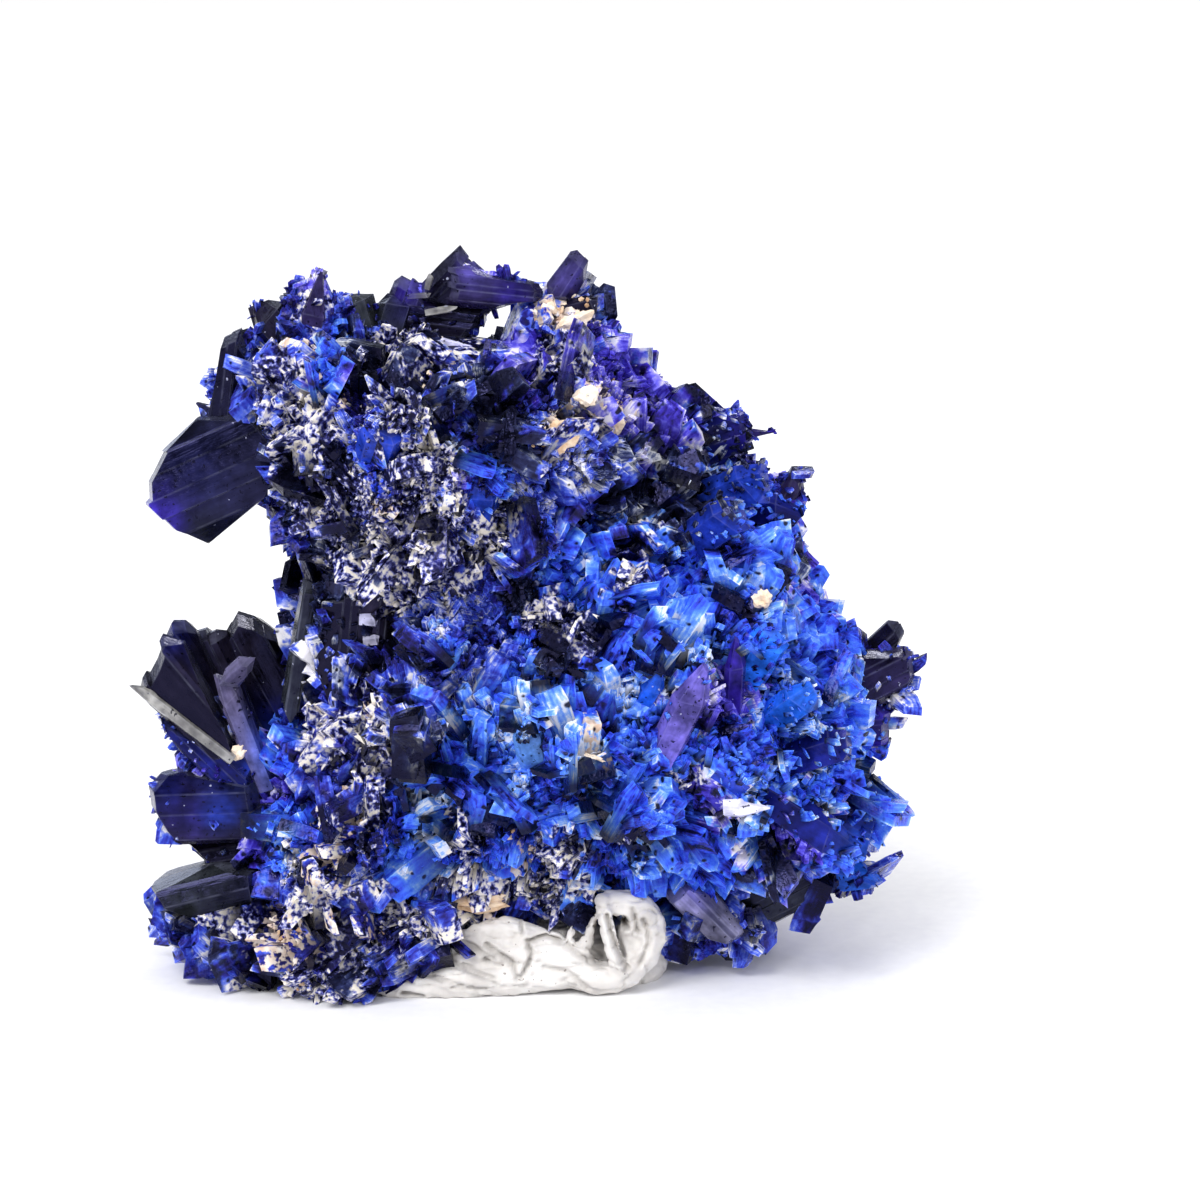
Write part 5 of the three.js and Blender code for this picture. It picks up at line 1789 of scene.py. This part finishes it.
@dataclass(frozen=True)
class Scatter:
    """How small pieces grow out of a surface.

    Args:
        density: pieces to the square millimetre.
        smallest: least length in millimetres.
        largest: greatest length in millimetres.
        tilt: how far each turns from the way it would lean, in degrees.
        seed: where the random numbers start.
        lean: how strongly they lean along the flow.
        thinned_by: the attribute that thins them.
    """

    density: float
    smallest: float
    largest: float
    tilt: float
    seed: int
    lean: float = 1.0
    thinned_by: str = "cover"

    def grow(
        self, name: str, ground: Piece, tree: ScatterTree,
        shapes: bpy.types.Collection, finish: Material,
    ) -> Piece:
        """Grow the pieces on a surface, as one dressed object.

        Args:
            name: the object's name.
            ground: a copy of the surface, which becomes the object.
            tree: the Geometry Nodes tree.
            shapes: the shapes to repeat.
            finish: their material.

        Returns:
            The object.
        """
        ground.name = name
        modifier = ground.modifiers.new("grow", "NODES")
        modifier.node_group = tree.tree
        values = {
            "Density": self.density / (MM * MM), "Smallest": self.smallest * MM, "Largest": self.largest * MM,
            "Tilt": math.radians(self.tilt), "Lean": self.lean, "Seed": self.seed, "Shapes": shapes,
            "Thinned By": self.thinned_by, "Finish": finish,
        }
        for key, value in values.items():
            modifier[tree.sockets[key]] = value
        fixed(ground)
        set_positions(ground.data, np.clip(positions(ground.data), *REACH))
        dress(ground, finish, "azurite")
        return ground


def gathered(name: str, members: list[Piece]) -> bpy.types.Collection:
    """Hide some shapes in a collection, to be repeated.

    Args:
        name: the collection's name.
        members: the shapes.

    Returns:
        The collection.
    """
    shapes = bpy.data.collections.new(name)
    for member in members:
        shapes.objects.link(member)
        bpy.context.scene.collection.objects.unlink(member)
    return shapes


def cleared(shapes: bpy.types.Collection) -> None:
    """Remove a collection and its shapes once they have been repeated.

    Args:
        shapes: the collection.
    """
    for member in list(shapes.objects):
        bpy.data.objects.remove(member)
    bpy.data.collections.remove(shapes)


def copy_of(body: Piece) -> Piece:
    """Return a plain copy of the body for a scatter to grow on."""
    return linked(bpy.data.objects.new("whole", body.data.copy()))


@dataclass
class Druse:
    """The fine crystals that cover the body.

    Args:
        coarse: the largest of them, sparse.
        middling: the growth between them.
        fine: the finest growth, in its own patches.
        crust: the growth on the large crystals.
        back_share: how dense the back is beside the front.
    """

    coarse: Scatter = Scatter(1.8, 1.0, 3.3, tilt=9.0, seed=20, lean=2.6, thinned_by="coarse")
    middling: Scatter = Scatter(6.0, 0.42, 1.30, tilt=16.0, seed=90, lean=2.2)
    fine: Scatter = Scatter(7.6, 0.28, 0.75, tilt=40.0, seed=50, lean=1.2, thinned_by="fine")
    crust: Scatter = Scatter(4.5, 0.25, 0.85, tilt=24.0, seed=170, lean=1.8)
    back_share: float = 0.5

    def build(
        self, body: Piece, large: Piece, tree: ScatterTree, finish: Material,
    ) -> None:
        """Grow the coarse crystals, every region's middling ones, the finest, then the crust.

        Args:
            body: the cluster's body.
            large: the large crystals.
            tree: the Geometry Nodes tree.
            finish: the azurite's material.
        """
        shapes = gathered("small_crystals", [shape.mesh() for shape in SmallShape])
        self.coarse.grow("druse_coarse", copy_of(body), tree, shapes, finish)
        for number, region in enumerate(Region):
            share = self.back_share if region is Region.BACK else 1.0
            middling = self.middling
            growth = replace(middling, density=middling.density * share, seed=middling.seed + 10 * number)
            growth.grow(f"druse_{region.name.lower()}", stretch_of(body, region), tree, shapes, finish)
        self.fine.grow("druse_fine", copy_of(body), tree, shapes, finish)
        self.crust.grow("druse_crust", copy_of(large), tree, shapes, finish)
        cleared(shapes)


@dataclass
class ClayChip:
    """A flake or lump of clay that sits on the front of the cluster.

    Args:
        x: where it shows across the front, in millimetres.
        z: where it shows in height.
        size: width, thickness and height.
        turn: its angle in the front plane, in degrees.
    """

    x: float
    z: float
    size: Spot
    turn: float = 0.0

    AHEAD, MISSED, PROUD = -30.0, -6.0, 0.55

    def build(self, tree: BVHTree, number: int) -> tuple[list[Vector], list[tuple[int, ...]]]:
        """Make the chip where it rests on the body.

        Args:
            tree: the body's surface to rest on.
            number: the chip's number, for its relief.

        Returns:
            Its points in metres, and its faces.
        """
        hit, *_ = tree.ray_cast(Vector((self.x, self.AHEAD, self.z)) * MM, Vector((0, 1, 0)))
        rest = hit if hit else Vector((self.x, self.MISSED, self.z)) * MM
        work = bmesh.new()
        bmesh.ops.create_icosphere(work, subdivisions=3, radius=0.5)
        place = Matrix.Translation(rest - Vector((0, self.PROUD * MM, 0)))
        place = place @ Matrix.Rotation(math.radians(-self.turn), 4, "Y")
        points = []
        for vertex in work.verts:
            seat = vertex.co * 3.0 + Vector((number * 5.0, 0, 0))
            shape = vertex.co * (1.0 + 0.55 * noise.noise(seat) + 0.35 * noise.noise(seat * 3.1))
            points.append(place @ Vector([shape[k] * self.size[k] * MM for k in range(3)]))
        faces = [tuple(vertex.index for vertex in face.verts) for face in work.faces]
        work.free()
        return points, faces


CHIPS = tuple(ClayChip(*row) for row in (
    (-2.9, 4.9, (3.6, 0.9, 1.0), 3), (-16.3, 13.2, (0.7, 0.6, 1.1), -35), (12.5, 22.6, (0.9, 0.8, 1.1), 20),
    (1.6, 31.4, (1.5, 0.8, 1.7), 20), (4.4, 31.7, (1.1, 0.7, 1.6), -10), (3.0, 33.5, (1.2, 0.6, 1.2), 35),
    (2.3, 36.8, (1.9, 0.7, 0.8), 25), (-5.4, 34.9, (1.5, 0.7, 0.7), -50), (3.2, 14.8, (1.4, 0.5, 0.3), -22),
    (0.9, 37.5, (0.9, 0.6, 0.8), 10), (-12.1, 35.1, (1.2, 0.5, 0.6), -30),
    (-6.5, 20.9, (0.5, 0.5, 0.8), 15),
))


@dataclass
class Clay:
    """Clay on the cluster: scattered grains, and chips in their places."""

    grains: Scatter = Scatter(5.0, 0.14, 0.6, tilt=60.0, seed=140, thinned_by="dust")
    chips: tuple[ClayChip, ...] = CHIPS

    def build(self, body: Piece, tree: ScatterTree, finish: Material) -> None:
        """Grow the grains and seat the chips.

        Args:
            body: the cluster's body.
            tree: the Geometry Nodes tree.
            finish: the clay's material.
        """
        points: list[Vector] = []
        faces: list[tuple[int, ...]] = []
        surface = BVHTree.FromObject(body, bpy.context.evaluated_depsgraph_get())
        for number, chip in enumerate(self.chips):
            corners, sides = chip.build(surface, number)
            faces += [tuple(corner + len(points) for corner in side) for side in sides]
            points += corners
        made = mesh_object("clay_chips", points, faces)
        lucks = np.repeat(np.random.default_rng(3).random((len(self.chips), 3)) * 0.5 + 0.4,
                          len(points) // len(self.chips), axis=0)
        store(made.data, "luck", lucks)
        dress(made, finish, "azurite")
        shapes = gathered("grains", [grain_mesh()])
        self.grains.grow("clay_grains", copy_of(body), tree, shapes, finish)
        cleared(shapes)


@dataclass(frozen=True)
class Strand:
    """A rolled strand of putty: points along it as X, Y, Z and radius, in the part's drawing."""

    points: tuple[tuple[float, float, float, float], ...]

    def smooth(self) -> list[tuple[Vector, float]]:
        """Lay close points along the strand.

        Returns:
            Each point and its radius.
        """
        rows = [np.array(row) for row in self.points]
        if len(rows) == 2:
            rows = [rows[0], (rows[0] + rows[1]) / 2, rows[1]]
        padded = [2 * rows[0] - rows[1], *rows, 2 * rows[-1] - rows[-2]]
        path = []
        for a, b, c, d in zip(padded, padded[1:], padded[2:], padded[3:]):
            for step in range(8):
                t = step / 8
                row = 0.5 * ((2 * b) + (c - a) * t + (2 * a - 5 * b + 4 * c - d) * t ** 2
                             + (3 * b - a - 3 * c + d) * t ** 3)
                path.append(row)
        path.append(rows[-1])
        shift = Vector((*DRAWN_MIDDLE, 0))
        return [(Vector(row[:3]) - shift, max(0.12, float(row[3]))) for row in path]

    def rings(self, sides: int = 16) -> list[list[Vector]]:
        """Lay rings round the strand, with rounded ends.

        Args:
            sides: corners to the ring.

        Returns:
            The rings in order.
        """
        path = self.smooth()
        rings = []
        last = len(path) - 1
        for number, (place, radius) in enumerate(path):
            ahead = path[min(last, number + 1)][0] - path[max(0, number - 1)][0]
            turn = ahead.to_track_quat("Z", "Y")
            caps = [(0.0, 1.0)]
            if number == 0:
                caps = [(-0.98, 0.2), (-0.7, 0.71), (-0.38, 0.92), (0.0, 1.0)]
            if number == last:
                caps = [(0.0, 1.0), (0.38, 0.92), (0.7, 0.71), (0.98, 0.2)]
            for lift, wide in caps:
                angles = [2 * math.pi * k / sides for k in range(sides)]
                ring = [(math.cos(a) * radius * wide, math.sin(a) * radius * wide) for a in angles]
                rings.append([place + turn @ Vector((*corner, lift * radius)) for corner in ring])
        return rings


PUTTY_STRANDS = tuple(Strand(points) for points in (
    ((-4.4, -5.4, 0.6, 1.6), (5.6, -5.0, 0.8, 2.3)), ((-3.6, -3.0, 0.6, 2.2), (6.8, -1.6, 0.8, 2.4)),
    ((-2.4, -0.6, 0.6, 2.2), (6.6, 1.6, 0.8, 2.2)),
    ((-7.9, -8.6, 0.3, 0.45), (-4.0, -8.5, 0.7, 0.9), (2.4, -8.0, 1.1, 0.9)),
    ((-7.4, -7.6, 1.0, 0.5), (-2.2, -7.6, 2.1, 1.0), (2.8, -7.9, 1.8, 1.0)),
    ((-4.4, -7.5, 2.3, 0.6), (-1.6, -7.3, 3.3, 0.8), (0.4, -7.3, 3.0, 0.7), (1.6, -7.5, 2.7, 0.6)),
    ((2.4, -8.0, 1.2, 0.9), (4.0, -8.3, 0.9, 0.9), (5.4, -8.1, 1.1, 0.9), (6.5, -7.7, 2.2, 0.9)),
    ((6.5, -7.7, 2.2, 1.0), (7.0, -7.4, 3.6, 0.8), (6.2, -7.2, 4.7, 0.8), (4.8, -7.3, 5.0, 0.7)),
    ((4.3, -7.7, 5.1, 0.5), (4.5, -8.5, 3.9, 0.45), (4.9, -8.9, 2.4, 0.45), (5.4, -8.6, 1.2, 0.6)),
    ((5.8, -7.4, 1.6, 1.0), (6.0, -7.3, 3.4, 0.9)), ((7.0, -7.9, 3.5, 0.6), (7.75, -8.0, 3.0, 0.14)),
    ((2.3, -8.0, 2.4, 0.5), (2.55, -7.8, 3.7, 0.14)), ((3.1, -8.0, 2.2, 0.5), (3.8, -7.8, 4.3, 0.14)),
))


@dataclass(frozen=True)
class Crease:
    """A crease or pit in the front of the putty.

    Args:
        points: points along it as X and Z, in the part's drawing.
        depth: how deep it is, in millimetres.
        width: how wide it is.
        grime: how dark its dirt and painted shade are, from 0 to 1.
    """

    points: tuple[tuple[float, float], ...]
    depth: float = 0.22
    width: float = 0.12
    grime: float = 0.35

    def away(self, places: Array) -> Array:
        """Measure how far each place is from the crease.

        Args:
            places: X and Z in millimetres, one row each.

        Returns:
            Distances as shares of its width.
        """
        corners = np.array(self.points) - np.array([DRAWN_MIDDLE[0], 0.0])
        nearest = np.full(len(places), np.inf)
        for start, end in zip(corners, corners[1:]):
            way = end - start
            share = np.clip((places - start) @ way / (way @ way), 0.0, 1.0)[:, None]
            nearest = np.minimum(nearest, np.linalg.norm(places - start - share * way, axis=1))
        return nearest / self.width


CREASES = tuple(Crease(*row) for row in (
    (((0.1, 3.0), (0.3, 2.4), (0.1, 1.8), (-0.3, 1.2)), 0.42, 0.13, 0.5),
    (((0.3, 3.05), (1.1, 3.25), (1.9, 3.0)), 0.40, 0.10, 0.6), (((-3.6, 3.0), (-1.75, 2.15)), 0.28, 0.12),
    (((-3.5, 1.8), (-1.75, 1.2)), 0.22, 0.10), (((-4.1, 0.7), (-2.2, 0.6)), 0.18, 0.10),
    (((-2.2, 2.8), (-0.8, 2.0), (-0.5, 1.2)), 0.32, 0.13, 0.45), (((-5.2, 1.35), (-3.5, 0.8)), 0.2, 0.10),
    (((-6.5, 1.7), (-4.6, 1.0)), 0.2, 0.09), (((-4.9, 2.3), (-3.2, 1.5), (-1.6, 0.9)), 0.2, 0.10),
    (((-2.3, 2.1), (-2.1, 2.0)), 0.30, 0.13, 0.9), (((-7.3, 1.25), (-7.1, 1.15)), 0.2, 0.15, 0.9),
    (((-6.9, 0.3), (-5.7, 0.15)), 0.2, 0.11, 0.9), (((4.5, 4.6), (4.9, 3.2), (5.6, 1.7)), 0.50, 0.14, 0.45),
    (((5.35, 4.1), (5.45, 3.9)), 0.80, 0.19, 1.0), (((6.5, 4.2), (6.85, 3.1), (6.3, 1.8)), 0.32, 0.13, 0.3),
    (((5.9, 4.8), (6.25, 3.5)), 0.26, 0.11, 0.3), (((2.2, 2.9), (3.0, 2.3), (4.2, 1.7)), 0.28, 0.14, 0.3),
    (((-0.3, 3.9), (-0.2, 3.4)), 0.3, 0.10, 0.5), (((1.0, 1.7), (2.4, 1.4), (3.4, 0.6)), 0.22, 0.13, 0.25),
))
# the curl's cavity: a patch of painted shade, not pressed in
CAVITY = Crease(((4.0, 3.7), (4.4, 2.7)), 0.0, 0.55, 1.0)


@dataclass
class MountingPutty:
    """The kneaded putty under the cluster.

    Args:
        strands: the strands that it was pressed from.
        voxel: size of the grid that merges them, in millimetres.
        crease: depth of the creases.
        lump: height of the lumps.
    """

    strands: tuple[Strand, ...] = PUTTY_STRANDS
    voxel: float = 0.13
    crease: float = 0.16
    lump: float = 0.10

    PULL = (0.45, 1.6, 1.9)
    STREAKS = ((0.25, 0.0, 1.6), (0.0, 1.5, 0.0), (0.12, 0.0, 3.4))
    LINE = 0.07
    TONGUE_END = 0.2
    CAVITY_FRONT = -7.6
    LIP = 0.35

    def build(self, finish: Material) -> Piece:
        """Build and dress the putty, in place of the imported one.

        Args:
            finish: the putty's material.

        Returns:
            The putty.
        """
        points: list[Vector] = []
        faces: list[tuple[int, ...]] = []
        for strand in self.strands:
            rings = strand.rings()
            faces += tube_faces(len(points), len(rings), len(rings[0]))
            points += [corner * MM for ring in rings for corner in ring]
        made = mesh_object("putty", points, faces)
        merge = made.modifiers.new("merge", "REMESH")
        merge.mode = "VOXEL"
        merge.voxel_size = self.voxel * MM
        merge.use_smooth_shade = True
        fixed(made)
        self.knead(made.data)
        made.data.polygons.foreach_set("use_smooth", [True] * len(made.data.polygons))
        dress(made, finish, "putty", "mounting_putty")
        return made

    def knead(self, mesh: Mesh) -> None:
        """Press creases and lumps into the putty, store the dirt and painted shade of its creases and cavity,
        and flatten its foot.

        Args:
            mesh: the putty's mesh.
        """
        points, facing = positions(mesh), vertex_normals(mesh)
        pulled = points * np.array(self.PULL)
        creases = -np.exp(-(ripple(pulled, 0.8, 4.0) / self.LINE) ** 2) * self.crease
        strokes = ripple(pulled, 2.2, 9.0) * 0.06
        lumps = ripple(points, 0.7, 1.0) * self.lump + ripple(points, 2.4, 6.0) * 0.03
        streaks = points @ np.array(self.STREAKS)
        lumps += ripple(streaks, 1.0, 3.0) * np.where(points[:, 0] < self.TONGUE_END, 0.12, 0.05)
        moved = points + facing * (creases + strokes + lumps)[:, None]
        seen = facing[:, 1] < 0.3
        # painted shade in the cavity inside the curl
        grime = np.exp(-CAVITY.away(points[:, [0, 2]]) ** 2) * (points[:, 1] > self.CAVITY_FRONT)
        # dirt and painted shade along each crease
        for crease in CREASES:
            away = crease.away(points[:, [0, 2]])
            groove = np.exp(-away ** 2)
            moved[:, 1] += (groove - self.LIP * np.exp(-(away - 2.0) ** 2)) * crease.depth * seen
            grime = np.maximum(grime, groove * crease.grime * seen)
        store(mesh, "grime", grime)
        moved[:, 2] = np.maximum(moved[:, 2], 0.0)
        set_positions(mesh, moved)


@dataclass
class Studio:
    """The white paper, the soft light and the camera.

    Args:
        paper: half the width of the paper in metres.
        sky: brightness of the light from all round.
        key: brightness of the broad light from the upper left.
    """

    paper: float = 30.0
    sky: float = 0.86
    key: float = 1.65

    BOXES = (
        ("box_left", (-0.20, -0.16, 0.22), 0.035, 0.10), ("box_front", (0.03, -0.26, 0.20), 0.030, 0.09),
        ("box_right", (0.24, -0.10, 0.16), 0.035, 0.09), ("box_low", (-0.12, -0.26, 0.05), 0.030, 0.05),
        ("box_back", (0.05, 0.26, 0.22), 0.050, 0.12),
    )
    AIM = (0.0, 0.0, 0.02)
    SKY_LEVELS = (
        (0.0, (0.25, 0.25, 0.27)), (0.5, (0.60, 0.61, 0.66)),
        (0.75, (0.96, 0.96, 0.98)), (1.0, (1.3, 1.3, 1.3)),
    )
    MIRRORED = (0.76, 0.84, 1.0)
    WHITE = (1.0, 1.0, 1.0)

    def build(self, finish: Material) -> None:
        """Make the floor, the lights and the camera.

        Args:
            finish: the paper's material.
        """
        half = self.paper
        corners = [(-half, -half, 0), (half, -half, 0), (half, half, 0), (-half, half, 0)]
        floor = mesh_object("paper", corners, [(0, 1, 2, 3)])
        floor.data.materials.append(finish)
        self.surround()
        self.sun()
        for row in self.BOXES:
            self.softbox(*row)
        self.camera()

    def surround(self) -> None:
        """Make the world: white to the camera, brighter above than below to the object."""
        world = bpy.data.worlds.new("studio")
        bpy.context.scene.world = world
        world.use_nodes = True
        bench = Bench(world.node_tree)
        way = bench.add("ShaderNodeTexCoord").outputs["Generated"]
        level = bench.ramp(bench.fitted(bench.parts(way)[2], 0.5, 0.5), self.SKY_LEVELS)
        panes = bench.fitted(bench.noise(2.6, 1.0, way), 11.0, -6.1, clamp=True)
        shade = bench.mix(1.0, bench.grey(bench.fitted(panes, 3.4, 0.16)), self.MIRRORED, "MULTIPLY")
        path = bench.add("ShaderNodeLightPath").outputs
        level = bench.mix(path["Is Glossy Ray"], level, bench.mix(1.0, level, shade, "MULTIPLY"))
        lit = bench.mix(1.0, level, (self.sky,) * 3, "MULTIPLY")
        colour = bench.mix(path["Is Camera Ray"], lit, self.WHITE)
        bench.fill(world.node_tree.nodes["Background"], {"Color": colour})

    def sun(self) -> None:
        """Make the broad key light from the upper left."""
        data = bpy.data.lights.new("key", "SUN")
        data.energy = self.key
        data.angle = math.radians(26)
        lamp = linked(bpy.data.objects.new("key", data))
        lamp.rotation_euler = Vector((-0.55, -0.75, 1.15)).to_track_quat("Z", "Y").to_euler()

    def softbox(self, name: str, place: Spot, size: float, power: float) -> None:
        """Add a small softbox that faces the specimen.

        Args:
            name: its name.
            place: where it stands, in metres.
            size: its side in metres.
            power: its power in watts.
        """
        data = bpy.data.lights.new(name, "AREA")
        data.size = size
        data.energy = power
        lamp = linked(bpy.data.objects.new(name, data))
        lamp.location = place
        lamp.rotation_euler = (Vector(place) - Vector(self.AIM)).to_track_quat("Z", "Y").to_euler()

    def camera(self) -> None:
        """Make the camera at the photograph's angle."""
        data = bpy.data.cameras.new("camera")
        data.lens = CAMERA_LENS
        data.sensor_width = 36.0
        data.clip_start, data.clip_end = 0.01, 60.0
        tip = math.radians(CAMERA_ELEVATION)
        back = Vector((0.0, -math.cos(tip), math.sin(tip)))
        view = linked(bpy.data.objects.new("camera", data))
        view.location = (Vector(CAMERA_TARGET) + back * CAMERA_DISTANCE) * MM
        view.rotation_euler = back.to_track_quat("Z", "Y").to_euler()
        bpy.context.scene.camera = view


def main() -> None:
    """Build the specimen piece by piece, then the studio."""
    logging.basicConfig(level=logging.INFO, format="%(message)s")
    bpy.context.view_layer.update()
    bpy.context.scene.view_settings.view_transform = "Standard"
    azurite = AzuriteFinish("azurite_fine").build()
    clay = ClayFinish("clay").build()
    tree = ScatterTree()
    ground = CrystalBody()
    body = ground.build(AzuriteFinish("azurite_ground", crystals=False).build())
    large = LargeCrystals().build(ground, LargeCrystalFinish("azurite_large").build())
    Druse().build(body, large, tree, azurite)
    Clay().build(body, tree, clay)
    MountingPutty().build(PuttyFinish("putty").build())
    Studio().build(PaperFinish("paper").build())


if __name__ == "__main__":
    main()
